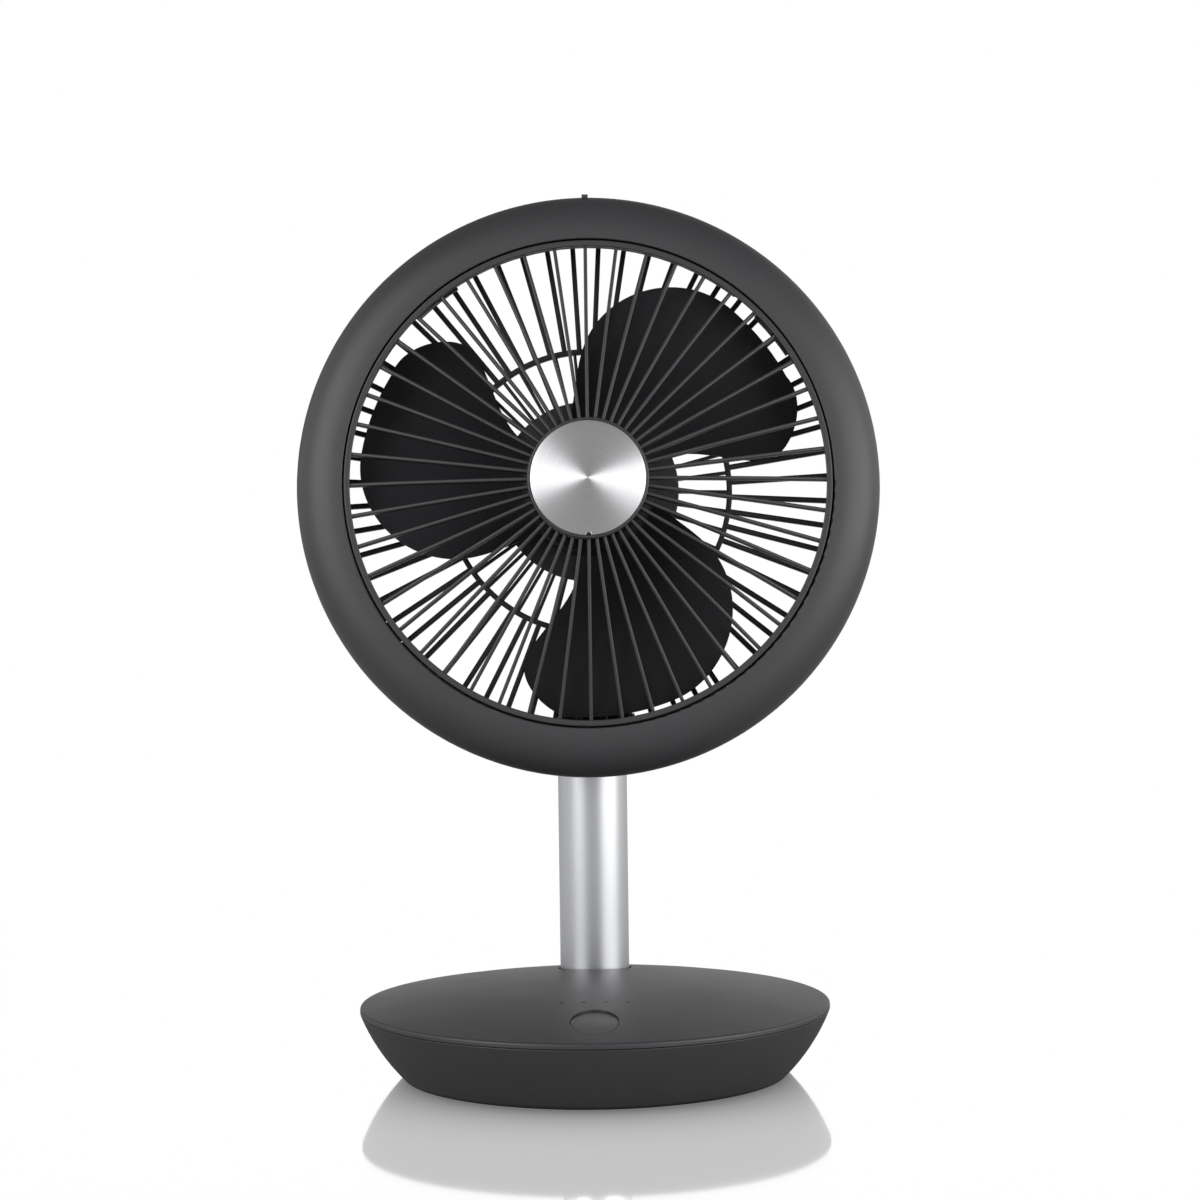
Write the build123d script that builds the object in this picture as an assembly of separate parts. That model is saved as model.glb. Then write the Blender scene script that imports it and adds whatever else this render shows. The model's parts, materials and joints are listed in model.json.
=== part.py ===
from build123d import *
import os
from math import cos, hypot, radians, sin, sqrt

# Desktop air circulator: a round head on an aluminium pole that stands in a weighted round base.
# Millimetres, +Z up, origin on the table at the centre of the base, front of the fan towards -Y.
# The head is drawn in its own frame: +X right, +Y up, +Z forward along the fan's axis, with its
# origin at the centre of the widest circle of the ring. HEAD places that frame on the tilt pin.

# ---------------------------------------------------------------- clearances and common walls
seat_gap = 0.3  # between two pieces that seat on each other
close_fit = 0.05  # radial, shaft in hole and screw in boss
hinge_play = 0.05  # on each side of a friction washer
wall = 2.2  # moulded walls of the head and of the base cover

# ---------------------------------------------------------------- base
rim_radius = 82.5  # widest circle of the base
rim_height = 25.2  # height of that circle
dome_rise = 8.0  # top of the cover above the rim
cover_edge = 1.8  # height of the cover's side below the rim
cover_round = 0.9
opening_round = 0.3  # edge of the pole's opening in the cover
parting_gap = 0.2  # fine line between cover and bowl
foot_radius = rim_radius - 15.0  # bowl at its floor
pad_stand_off = 0.6  # rubber ring below the bowl
bowl_round = 0.3  # bowl's upper edge
bowl_curve = 67.0  # radius of the bowl's side profile
bowl_wall = 2.4
floor_thickness = 3.0
lip_depth = 4.0  # cover's locating lip inside the bowl
lip_thickness = 1.8

pad_outer = foot_radius - 2.7
pad_inner = pad_outer - 5.5
pad_groove = 1.0  # depth of the groove that holds the rubber ring

weight_radius = foot_radius - 7.5
weight_thickness = 7.0

base_screw_circle = weight_radius - 6.0
base_screw_angles = (45, 135, 225, 315)
cover_boss_radius = 3.8
base_screw_length = 12.0
base_screw_depth = 14.0  # holes in the bosses, from the floor up

screw_radius = 1.5
screw_head_radius = 2.8
screw_head_height = 1.8
small_screw_radius = 1.25
small_head_radius = 2.4
small_head_height = 1.5
tiny_screw_radius = 0.8
tiny_head_radius = 1.3
tiny_head_height = 0.8

# ---------------------------------------------------------------- battery and electronics
# What lies in the base follows the rim's radius.
cell_radius = 0.1115 * rim_radius
cell_length = 0.788 * rim_radius
cell_gap = 1.1
cell_contact = 1.0  # raised contact at one end of a cell
cells_y = -0.1121 * rim_radius  # midway between the two cells
tray_wall = 1.4
tray_floor = 1.0
tray_height = 9.0
tray_room = 2.0  # window beyond each end of the tray, and half of it beyond its sides
cell_end_gap = 0.2

board_top = 21.0
board_thickness = 1.6
board_width = 44.0
board_front = 17.0 - rim_radius
board_rear = -rim_radius / 3
board_boss_radius = 3.0
board_screw_x = 18.0
board_screw_length = 6.0
board_screw_inset = 5.5
board_screw_rows = (board_front + board_screw_inset, board_rear - board_screw_inset)

button_y = 21.5 - rim_radius
button_half_width = 8.0
button_half_length = 13.2
button_gap = 0.2
button_flange = 1.0
button_travel = 0.8
button_dish_radius = 150.0
button_dish_depth = 0.8
button_dish_y = button_y + 10.5
switch_size = 6.0
switch_height = 2.6
plunger_radius = 1.6
plunger_length = 1.7
plunger_play = 0.15

led_y = 44.4 - rim_radius
led_pitch = 7.57
led_count = 4
led_radius = 0.8
led_chip_width = 2.0
led_chip_depth = 1.4
led_chip_height = 0.8
light_bar_overhang = 2.0  # beyond the outer lights
light_bar_depth = 4.0
light_bar_height = 1.2

socket_height = 11.0  # centre of the charging socket
socket_width = 8.9
socket_thickness = 3.2
socket_depth = 7.3
socket_recess = 1.2
socket_clearance = 0.4
socket_shell = 0.3
socket_back = 1.0  # thickness of the socket's closed end
socket_tongue = (6.4, 0.7)  # width and thickness
charger_width = 15.0
charger_thickness = 1.2
charger_rear = rim_radius - 11.7
charger_front = charger_rear - 10.0
charger_screw_x = 4.5
charger_screw_length = 5.0
charger_post_radius = 2.6
charger_screw_shift = 2.0  # screws ahead of the board's middle, clear of the socket

# ---------------------------------------------------------------- pole and swivel
pole_y = 0.46667 * rim_radius
pole_radius = 12.5
pole_wall = 1.6
pole_gap = 1.0  # between the pole and the hole in the cover
foot_spigot = 14.0
wire_bore = 5.0

housing_radius = 0.26667 * rim_radius
housing_floor = 2.0
housing_wall = 2.5
washer_thickness = 1.0
flange_thickness = 3.0
swivel_range = 45.0
stop_half_angle = 5.0
stop_reach = 1.6
retainer_thickness = 2.5
swivel_screw_inset = 1.3  # middle of the housing's wall
swivel_screw_length = 7.0
swivel_screw_angles = (150, 210, 330, 390)  # clear of the stop at the rear

# ---------------------------------------------------------------- tilt joint
head_tilt = 7.0  # head leans back from the vertical
tilt_height = 121.4  # tilt pin above the table
pin_back = 36.0  # tilt pin behind the widest circle, in the head's frame
pin_radius = 2.5
pin_head_radius = 4.5
pin_head_height = 2.0
eye_radius = 9.0
eye_half_width = 6.0
friction_washer = 0.6
ear_thickness = 3.0
ear_radius = 8.5
bracket_plate = 2.5
bracket_half_width = 21.5
bracket_round = 2.0
bracket_screw_inset = 0.7  # screw head from the plate's end
bracket_screw_gap = 0.6  # between two screw heads
bracket_screw_length = 8.0
bracket_margin = 0.5  # pad below the plate
neck_drop = 16.9  # top of the knuckle's shoulder below the pin
neck_edge = 0.5  # bevel of the neck and the eye
shoulder = 1.5
knuckle_spigot = 18.0
neck_screw_length = 8.0
neck_screw_sunk = 3.0  # middle of its shank inside the tube's surface
neck_head_radius = 2.6
neck_head_height = 1.2
nut_across = 8.0
nut_height = 4.0
spring_washer = 1.0

# ---------------------------------------------------------------- head
ring_radius = 103.1  # widest circle
ring_inner = ring_radius - 17.0  # edge of the opening that takes the front grille
ring_front = 12.2  # front of the ring ahead of the widest circle
ring_rear = 21.5  # back of the ring behind it
ring_round = 0.7  # edges beside the dark line round the grille
duct_wall = 1.9
duct_rear = 16.0
rear_opening = ring_inner + 3.7  # the duct widens to this at the rear grille
seam_gap = 0.4
tongue_depth = 3.0
tongue_thickness = 1.5
ledge_inner = ring_inner - 1.6
ledge_top = 4.6
ledge_thickness = 2.0
nub_width = 2.2
nub_height = 0.7
nub_depth = 3.0

collar_wall = 1.8
collar_depth = 12.0
rear_lip = 1.6
rear_lip_inner = rear_opening + 0.2
ring_back = rear_lip_inner + 1.0  # flat edge round the back before the ring's curve begins
head_screw_circle = ring_inner + 11.9
head_screw_angles = (30, 90, 150, 210, 270, 330)
head_boss_radius = 3.4
head_boss_depth = 3.0
head_boss_rear = 8.0  # where the screw heads sit behind the widest circle
head_screw_length = 12.0
head_screw_end = 6.0  # screw holes end this far behind the ring's front
pad_half_width = 22.5
pad_top = rear_lip_inner + 0.2
pad_bottom = pad_top + 8.3
pad_rear = 23.0
pad_front = 10.0
pin_drop = ring_inner - 4.6  # tilt pin below the fan's axis, in the head's frame

# ---------------------------------------------------------------- front grille
grille_gap = 0.45  # dark line round the grille's rim
rim_width = 2.25
rim_flare = 1.1  # the rim's inside widens by this towards the back
rim_round = 0.5
rim_front = 12.3
rib_count = 48
rib_thickness = 1.3
rib_depth = 5.0
rib_crown = 1.2  # bulge of the rib's front edge
rib_round = 0.45
rib_sink = 0.9  # ends of the ribs behind the rim's front
rib_start_sink = 1.6  # and behind the hub's front
hub_round = 0.5
hub_radius = 21.2
hub_front = 24.2
hub_plate = 3.6
hub_wall = 2.0
hub_depth = 5.5
hook_angles = (45, 135, 225, 315)
hook_angle = 6.0  # length of a stem, of a foot and of the twist
hook_thickness = 1.5
hook_foot = 2.2
hook_play = 0.3
hook_inset = 0.3  # hooks inside the rim's outer face
latch_angles = (213.8, 219.7)
latch_slit = 0.8
latch_depth = 1.2
latch_length = 4.0

badge_radius = 20.1
badge_thickness = 1.6
badge_gap = 0.1
badge_round = 0.35
badge_notch = 2.0  # width
badge_proud = 0.4

# ---------------------------------------------------------------- rear grille
grille_plane = 16.3  # front of the rear grille behind the widest circle
grille_depth = 3.3
mid_ring_radius = 0.5877 * ring_inner
mid_ring_width = 1.9
motor_plate_radius = 32.4
outer_bars = 60
outer_bar_width = 1.8
inner_bars = 45
inner_bar_width = 1.15

# ---------------------------------------------------------------- rotor
blade_count = 3
tip_radius = ring_inner - 4.6
rotor_hub_radius = 23.6
rotor_hub_wall = 1.8
rotor_hub_top = 2.0
rotor_hub_rear = 14.8
rotor_hub_front = 4.5
rotor_hub_round = 3.0
rotor_boss_radius = 5.0
blade_thickness = 1.7
blade_mid_angle = 45.0  # middle of the first blade, clockwise from the top
blade_mid_depth = 4.3  # middle of a blade behind the widest circle
blade_camber = 1.8
blade_reach = 0.564 * tip_radius  # half length of a section before trimming
# each blade section: distance out as a share of the tip radius, sideways shift, slope
blade_sections = ((0.1, -8.0, 0.50), (0.393, -8.0, 0.34), (0.687, 0.0, 0.22), (1.03, 0.0, 0.21))
# swept edge and round edge of a blade: clockwise angle and radius as a share of the tip radius
swept_edge = ((-17, 0.277), (-7, 0.43), (0.2, 0.637), (9.7, 0.80), (21, 0.922), (39, 1.0))
round_edge = ((61, 1.0), (74, 0.945), (80.8, 0.82), (79.5, 0.69), (73, 0.52), (69, 0.277))

# ---------------------------------------------------------------- motor
cup_gap = 0.2
cup_wall = 1.4
magnet_thickness = 1.7
magnet_length = 10.0
air_gap = 0.6
stator_thickness = 7.0
tooth_count = 9
tooth_width = 2.6
stator_root = 8.0
shoe_thickness = 1.4
shoe_share = 7 / 9  # of a tooth's pitch that its shoe covers
coil_thickness = 1.3
shaft_radius = 1.5
bearing_radius = 4.0
bearing_length = 4.0
tube_wall = 1.2
tube_rear_bore = 3.0
bearing_seat = 0.5  # rear bearing ahead of the motor plate's front
tube_end = 1.0  # tube and front bearing ahead of the stator
motor_flange_radius = 12.0
motor_flange = 1.5
cap_radius = 8.5
cap_height = 3.0
cap_round = 1.2
cap_bore_end = 0.8  # thickness of the cap's front
cover_radius = 30.0
cover_depth = 12.5
cover_corner = 5.0
driver_radius = 19.0
driver_inner = 7.0
driver_thickness = 1.6
driver_gap = 3.0
driver_post_radius = 1.6
driver_post_inset = 3.0
motor_screw_circle = 24.0
motor_screw_angles = (30, 150, 270)
motor_screw_seat = 4.0  # screw heads ahead of the cover's back

# ---------------------------------------------------------------- derived places
dome_top = rim_height + dome_rise
dome_radius = (rim_radius**2 + dome_rise**2) / (2 * dome_rise)
bowl_top = rim_height - cover_edge - parting_gap
floor_top = pad_stand_off + floor_thickness
weight_top = floor_top + weight_thickness
washer_bottom = weight_top + housing_floor
flange_bottom = washer_bottom + washer_thickness
pole_bottom = flange_bottom + flange_thickness
upper_washer = pole_bottom + seat_gap
housing_top = upper_washer + washer_thickness
pole_top = tilt_height - neck_drop - shoulder
pole_bore = pole_radius - pole_wall
flange_radius = housing_radius - housing_wall - seat_gap
screw_seat = pad_stand_off + screw_head_height + 0.1
plunger_top = board_top + switch_height + button_travel + 0.2

duct_outer = ring_inner + duct_wall
guard_outer = rear_opening + 2.5
collar_inner = guard_outer + seat_gap
collar_outer = collar_inner + collar_wall
rim_outer = ring_inner - grille_gap
rim_inner = rim_outer - rim_width
rim_rear = ledge_top + seat_gap
rim_back_inner = rim_inner + rim_flare
motor_face = -grille_plane  # front of the motor plate
motor_back = -grille_plane - grille_depth

HEAD = Location((0, pole_y, tilt_height), (90 - head_tilt, 0, 0)) * Location((0, pin_drop, pin_back))
POLE = Location((0, pole_y, 0))


# ---------------------------------------------------------------- helpers
def disc(radius, bottom, top):
    """A cylinder about Z between two heights."""
    return Pos(0, 0, bottom) * Cylinder(radius, top - bottom, align=(Align.CENTER, Align.CENTER, Align.MIN))


def ring(inner, outer, bottom, top):
    """A flat ring about Z between two heights."""
    return disc(outer, bottom, top) - disc(inner, bottom - 1, top + 1)


def sector(inner, outer, start, end, bottom, top):
    """A piece of a ring between two angles, counter-clockwise from +X."""
    section = Pos((inner + outer) / 2, (bottom + top) / 2) * Rectangle(outer - inner, top - bottom)
    return Rot(0, 0, start) * revolve(Plane.XZ * section, Axis.Z, end - start)


def block(x_size, y_range, z_range):
    """A box centred on x = 0 between two y and two z values."""
    y_size = y_range[1] - y_range[0]
    z_size = z_range[1] - z_range[0]
    middle = (0, sum(y_range) / 2, sum(z_range) / 2)
    return Pos(middle) * Box(x_size, y_size, z_size)


def around(shape, angles):
    """Copies of a shape turned about Z."""
    return [Rot(0, 0, angle) * shape for angle in angles]


def at_points(shape, points):
    """Copies of a shape moved to points in the XY plane."""
    return [Pos(x, y, 0) * shape for x, y in points]


def screw(shank, head, head_height, head_at, length, upward=True):
    """A round-headed screw along Z. Its shank leaves the head upward or downward."""
    if upward:
        return disc(head, head_at - head_height, head_at) + disc(shank, head_at, head_at + length)
    return disc(head, head_at, head_at + head_height) + disc(shank, head_at - length, head_at)


def small_screw(head_at, length, upward=True):
    """The screw used for boards and for the tilt bracket."""
    return screw(small_screw_radius, small_head_radius, small_head_height, head_at, length, upward)


def polar(radius, angle):
    """A point in the XY plane, the angle clockwise from +Y."""
    return (radius * sin(radians(angle)), radius * cos(radians(angle)))


def even_angles(count, start=0.0):
    """Angles that divide a full turn."""
    return [start + 360.0 * index / count for index in range(count)]


# ---------------------------------------------------------------- base
def dome_z(radius):
    """Height of the cover's outer surface at a radius from the base's centre."""
    return dome_top - dome_radius + sqrt(dome_radius**2 - radius**2)


def round_pole_opening(edge):
    """Whether an edge runs round the pole's opening in the cover's outer surface."""
    points = [edge @ share for share in (0.1, 0.5, 0.9)]
    off_hole = [hypot(point.X, point.Y - pole_y) - pole_radius - pole_gap for point in points]
    off_dome = [dome_z(hypot(point.X, point.Y)) - point.Z for point in points]
    return max(map(abs, off_hole + off_dome)) < 0.001


def dome_solid(depth, bottom=0.0):
    """Everything under the cover's surface, lowered by a depth, down to a height."""
    top = ThreePointArc(
        (0, dome_top - depth),
        (rim_radius / 2, dome_z(rim_radius / 2) - depth),
        (rim_radius, rim_height - depth),
    )
    rest = Polyline(top @ 1, (rim_radius, bottom), (0, bottom), top @ 0)
    return revolve(Plane.XZ * make_face([top, rest]), Axis.Z)


def bowl_radius(height):
    """Outer radius of the bowl at a height: an arc from the foot to the bowl's upper edge."""
    run = rim_radius - foot_radius
    climb = bowl_top - pad_stand_off
    half = hypot(run, climb) / 2
    reach = sqrt(bowl_curve**2 - half**2)
    centre_r = (rim_radius + foot_radius) / 2 - reach * climb / (2 * half)
    centre_z = (bowl_top + pad_stand_off) / 2 + reach * run / (2 * half)
    return centre_r + sqrt(bowl_curve**2 - (height - centre_z) ** 2)


def bowl_solid(inset, bottom):
    """The bowl's outer form, drawn in by an inset, from a height up to its edge."""
    middle = (bottom + bowl_top) / 2
    side = ThreePointArc(
        (bowl_radius(bottom) - inset, bottom),
        (bowl_radius(middle) - inset, middle),
        (rim_radius - inset, bowl_top),
    )
    rest = Polyline(side @ 1, (0, bowl_top), (0, bottom), side @ 0)
    return revolve(Plane.XZ * make_face([side, rest]), Axis.Z)


def screw_points():
    """Places of the four screws that hold the base together."""
    return [polar(base_screw_circle, angle) for angle in base_screw_angles]


def socket_cut(extra, inner_y, outer_y):
    """The rounded opening of the charging socket, larger by an extra on each side."""
    width = socket_width + 2 * extra
    height = socket_thickness + 2 * extra
    outline = SlotOverall(width, height) if width > height else Circle(height / 2)
    return Location((0, outer_y, socket_height), (90, 0, 0)) * extrude(outline, outer_y - inner_y)


def base_shell():
    """The bowl: side, floor, groove for the rubber ring, screw holes and the socket's opening."""
    shell = bowl_solid(0, pad_stand_off) - bowl_solid(bowl_wall, floor_top)
    shell = fillet(shell.edges().group_by(Axis.Z)[-1].sort_by(SortBy.RADIUS)[-1], bowl_round)
    shell -= ring(pad_inner - 0.1, pad_outer + 0.1, pad_stand_off - 1, pad_stand_off + pad_groove)
    hole = disc(screw_radius + close_fit, 0, floor_top + 1) + disc(screw_head_radius + 0.2, 0, screw_seat)
    shell -= at_points(hole, screw_points())
    wall_y = bowl_radius(socket_height)
    shell -= socket_cut(socket_clearance, wall_y - 2 * bowl_wall, wall_y + 2)
    post = disc(charger_post_radius, floor_top - 0.1, charger_bottom())
    hole = disc(small_screw_radius + close_fit, floor_top, charger_bottom() + 1)
    return shell + at_points(post, charger_points()) - at_points(hole, charger_points())


def charger_bottom():
    """Underside of the charging board, which carries the socket."""
    return socket_height - socket_thickness / 2 - charger_thickness


def charger_points():
    """Places of the charging board's two screws."""
    middle = (charger_front + charger_rear) / 2 - charger_screw_shift
    return [(-charger_screw_x, middle), (charger_screw_x, middle)]


def rubber_pad():
    """The non-slip ring that the fan stands on."""
    return ring(pad_inner, pad_outer, 0, pad_stand_off + pad_groove)


def cover_lip_radius():
    """Outer radius of the cover's lip, inside the bowl at the lip's lower edge."""
    return bowl_radius(bowl_top - lip_depth) - bowl_wall - seat_gap


def board_points():
    """Places of the control board's four screws."""
    return [(x, y) for x in (-board_screw_x, board_screw_x) for y in board_screw_rows]


def led_points():
    """Places of the indicator lights, in a row across the cover."""
    first = -led_pitch * (led_count - 1) / 2
    return [(first + led_pitch * index, led_y) for index in range(led_count)]


def button_outline(extra):
    """A tall oval prism about the button, larger by an extra all round."""
    oval = Ellipse(button_half_width + extra, button_half_length + extra)
    return Pos(0, button_y, pad_stand_off) * extrude(oval, dome_top)


def top_cover():
    """The domed cover, its lip, bosses for the screws and openings for pole, button and lights."""
    edge_bottom = rim_height - cover_edge
    cover = dome_solid(0, edge_bottom)
    cover = fillet(cover.edges().filter_by(lambda edge: edge.is_closed).group_by(Axis.Z)[-1], cover_round)
    cover -= disc(rim_radius - bowl_wall, 0, dome_top) & dome_solid(wall)
    outer = cover_lip_radius()
    inner = outer - lip_thickness
    cover += ring(inner, outer, bowl_top - lip_depth, edge_bottom + 1) & dome_solid(wall / 2)
    cover += ring(inner, rim_radius - 1, edge_bottom, edge_bottom + wall) & dome_solid(wall / 2)
    bosses = at_points(disc(cover_boss_radius, floor_top + seat_gap, dome_top), screw_points())
    bosses += at_points(disc(board_boss_radius, board_top, dome_top), board_points())
    cover += [boss & dome_solid(wall / 2) for boss in bosses]
    hole = disc(screw_radius + close_fit, 0, floor_top + base_screw_depth)
    cover -= at_points(hole, screw_points())
    hole = disc(small_screw_radius + close_fit, 0, board_top + board_screw_length)
    cover -= at_points(hole, board_points())
    cover -= Pos(0, pole_y, 0) * disc(pole_radius + pole_gap, 0, dome_top + 1)
    cover = fillet(cover.edges().filter_by(round_pole_opening), opening_round)
    cover -= button_outline(button_gap)
    return cover - at_points(disc(led_radius + close_fit, 0, dome_top + 1), led_points())


def base_screws():
    """Four screws from below, through the bowl's floor into the cover's bosses."""
    fastener = screw(screw_radius, screw_head_radius, screw_head_height, screw_seat, base_screw_length)
    return Part() + at_points(fastener, screw_points())


def weight_plate():
    """Steel ballast on the floor, with a window for the cells and notches for the cover's bosses."""
    plate = disc(weight_radius, floor_top, weight_top)
    window = cell_length + 2 * (tray_wall + tray_room)
    plate -= block(window, tray_span(tray_room / 2), (0, dome_top))
    plate -= at_points(disc(cover_boss_radius + 1, 0, dome_top), screw_points())
    return plate


def tray_span(extra):
    """Front and rear of the battery tray, larger by an extra each way."""
    half = 2 * cell_radius + cell_gap / 2 + tray_wall + extra
    return (cells_y - half, cells_y + half)


def cell_centres():
    """The y and z of the two cells' axes."""
    offset = cell_radius + cell_gap / 2
    height = floor_top + tray_floor + cell_radius
    return [(cells_y - offset, height), (cells_y + offset, height)]


def battery_tray():
    """The tray on the base's floor, hollowed to the shape of the two cells."""
    tray = block(cell_length + 2 * tray_wall, tray_span(0), (floor_top, floor_top + tray_height))
    bed = Cylinder(cell_radius + close_fit, cell_length + 2 * cell_end_gap)
    return tray - [Location((0, y, z), (0, 90, 0)) * bed for y, z in cell_centres()]


def battery_cells():
    """Two round cells side by side."""
    cells = []
    for y, z in cell_centres():
        place = Location((0, y, z), (0, 90, 0))
        can = Pos(0, 0, -cell_contact / 2) * Cylinder(cell_radius, cell_length - cell_contact)
        contact = Pos(0, 0, (cell_length - cell_contact) / 2) * Cylinder(cell_radius / 3, cell_contact)
        cells.append(place * (can + contact))
    return Part() + cells


def control_board():
    """The board under the cover, with the chips of the indicator lights on it."""
    board = block(board_width, (board_front, board_rear), (board_top - board_thickness, board_top))
    board -= at_points(disc(small_screw_radius + close_fit, 0, dome_top), board_points())
    chip = Pos(0, 0, board_top + led_chip_height / 2) * Box(led_chip_width, led_chip_depth, led_chip_height)
    board += at_points(chip, led_points())
    return board


def board_screws():
    """Screws of the control board, from below, and of the charging board, from above."""
    lower = small_screw(board_top - board_thickness, board_screw_length)
    upper = small_screw(charger_bottom() + charger_thickness, charger_screw_length, upward=False)
    return Part() + at_points(lower, board_points()) + at_points(upper, charger_points())


def tact_switch():
    """The push switch on the board, with a well for its plunger."""
    body = block(switch_size, (button_y - switch_size / 2, button_y + switch_size / 2),
                 (board_top, board_top + switch_height))
    well_bottom = plunger_top - plunger_length - button_travel - 0.1
    return body - Pos(0, button_y, 0) * disc(plunger_radius + plunger_play, well_bottom, plunger_top + 1)


def switch_plunger():
    """The switch's plunger, under the button's stem."""
    return Pos(0, button_y, 0) * disc(plunger_radius, plunger_top - plunger_length, plunger_top)


def power_button():
    """The oval button: flush at the front, dished towards the rear, held by a flange under the cover."""
    cap = (button_outline(0) & dome_solid(0)) - dome_solid(wall + seat_gap + button_flange)
    flange = button_outline(button_flange) & dome_solid(wall + seat_gap)
    flange -= dome_solid(wall + seat_gap + button_flange)
    stem = Pos(0, button_y, 0) * disc(plunger_radius, plunger_top, dome_top) & dome_solid(wall)
    slope = button_dish_y / dome_radius
    centre = (0, button_dish_y + button_dish_radius * slope,
              dome_z(button_dish_y) + button_dish_radius - button_dish_depth)
    dish = Location(centre, (0, 90, 0)) * Cylinder(button_dish_radius, 4 * button_half_width)
    return cap + flange + stem - dish


def light_pipe():
    """One clear moulding: a bar under the cover with a pin up to the surface for each light."""
    width = led_pitch * (led_count - 1) + 2 * light_bar_overhang
    corner = hypot(width / 2, abs(led_y) + light_bar_depth / 2)
    top = dome_z(corner) - wall - seat_gap
    pipe = block(width, (led_y - light_bar_depth / 2, led_y + light_bar_depth / 2),
                 (top - light_bar_height, top))
    pin = disc(led_radius, board_top + led_chip_height + seat_gap, dome_top)
    return pipe + [placed & dome_solid(0) for placed in at_points(pin, led_points())]


def charging_board():
    """The small board at the rear that carries the charging socket."""
    bottom = charger_bottom()
    board = block(charger_width, (charger_front, charger_rear), (bottom, bottom + charger_thickness))
    return board - at_points(disc(small_screw_radius + close_fit, 0, dome_top), charger_points())


def charging_socket():
    """The socket: a flat steel tube with a tongue inside, its mouth in the bowl's opening."""
    mouth = bowl_radius(socket_height) - socket_recess
    back = mouth - socket_depth
    body = socket_cut(0, back, mouth) - socket_cut(-socket_shell, back + socket_back, mouth + 1)
    width, thickness = socket_tongue
    tongue = Pos(0, (mouth + back) / 2, socket_height) * Box(width, socket_depth - 1, thickness)
    return body + tongue


# ---------------------------------------------------------------- pole and swivel
def swivel_housing():
    """The cup on the weight plate that the pole's flange turns in, with room for its stop."""
    cup = disc(housing_radius, weight_top, housing_top)
    cup -= disc(flange_radius + seat_gap, washer_bottom, housing_top + 1)
    cup -= disc(wire_bore, 0, housing_top)
    reach = swivel_range + stop_half_angle + 1
    cup -= sector(flange_radius - 1, flange_radius + stop_reach + seat_gap, 90 - reach, 90 + reach,
                  flange_bottom - 0.2, housing_top + 1)
    hole = disc(tiny_screw_radius + close_fit, washer_bottom, housing_top + 1)
    return POLE * (cup - around_housing(hole))


def around_housing(shape):
    """Copies of a shape at the retainer's four screws."""
    return around(Pos(housing_radius - swivel_screw_inset, 0, 0) * shape, swivel_screw_angles)


def lower_washer():
    """Plastic thrust washer under the pole's flange."""
    return POLE * ring(wire_bore, flange_radius - 1, washer_bottom, flange_bottom)


def upper_thrust_washer():
    """Plastic thrust washer between the flange and the retainer."""
    return POLE * ring(pole_radius + seat_gap, flange_radius - 0.5, upper_washer, housing_top)


def swivel_retainer():
    """The ring that keeps the pole's flange down in its housing."""
    plate = ring(pole_radius + 2 * seat_gap, housing_radius, housing_top, housing_top + retainer_thickness)
    return POLE * (plate - around_housing(disc(tiny_screw_radius + close_fit, 0, dome_top)))


def swivel_screws():
    """Small screws that hold the retainer on its housing."""
    head_at = housing_top + retainer_thickness
    size = (tiny_screw_radius, tiny_head_radius, tiny_head_height)
    fastener = screw(*size, head_at, swivel_screw_length, upward=False)
    return POLE * (Part() + around_housing(fastener))


def pole_foot():
    """The turned foot of the pole: flange, stop and a spigot that the tube is pressed on."""
    foot = disc(flange_radius, flange_bottom, pole_bottom)
    foot += sector(flange_radius - 1, flange_radius + stop_reach,
                   90 - stop_half_angle, 90 + stop_half_angle, flange_bottom, pole_bottom)
    foot += disc(pole_bore - close_fit, pole_bottom - 1, pole_bottom + foot_spigot)
    return POLE * (foot - disc(wire_bore, 0, dome_top + foot_spigot))


def pole_tube():
    """The aluminium tube."""
    tube = ring(pole_bore, pole_radius, pole_bottom, pole_top)
    screw_hole = neck_screw_place() * Cylinder(screw_radius + close_fit, 4 * pole_wall)
    return POLE * (tube - screw_hole)


def neck_screw_place():
    """Where the screw behind the pole's top crosses the tube's wall."""
    return Location((0, pole_radius, pole_top - knuckle_spigot / 2), (90, 0, 0))


def neck_screw():
    """The screw that locks the knuckle in the tube, from behind."""
    shank = Pos(0, 0, neck_screw_sunk) * Cylinder(screw_radius, neck_screw_length)
    back = neck_screw_sunk - (neck_screw_length + neck_head_height) / 2
    head = Pos(0, 0, back + close_fit) * Cylinder(neck_head_radius, neck_head_height)
    return POLE * (neck_screw_place() * (shank + head))


def knuckle():
    """The fixed half of the tilt joint: spigot in the tube, shoulder, neck and round eye."""
    below = tilt_height - neck_drop
    body = disc(pole_bore - close_fit, pole_top - knuckle_spigot, pole_top)
    body += disc(pole_radius, pole_top, below)
    body += block(2 * eye_half_width, (-eye_radius, eye_radius), (below - 0.5, tilt_height))
    axis = Location((0, 0, tilt_height), (0, 90, 0))
    body += axis * Cylinder(eye_radius, 2 * eye_half_width)
    upper = body.edges().filter_by(lambda edge: (edge @ 0.5).Z > below + 0.01 and edge.length > 2)
    body = chamfer(upper, neck_edge)
    body -= axis * Cylinder(pin_radius + close_fit, 4 * eye_half_width)
    hole = Cylinder(screw_radius + close_fit, neck_screw_length + 0.2)
    body -= neck_screw_place() * Pos(0, 0, neck_screw_sunk) * hole
    return POLE * body


# ---------------------------------------------------------------- tilt joint, in the head's frame
def pin_axis(x):
    """A place on the tilt pin's axis, at x, with its own Z along the pin."""
    return Location((x, -pin_drop, -pin_back), (0, 90, 0))


def ear_inner():
    """Inner face of the bracket's ears."""
    return eye_half_width + friction_washer


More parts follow.
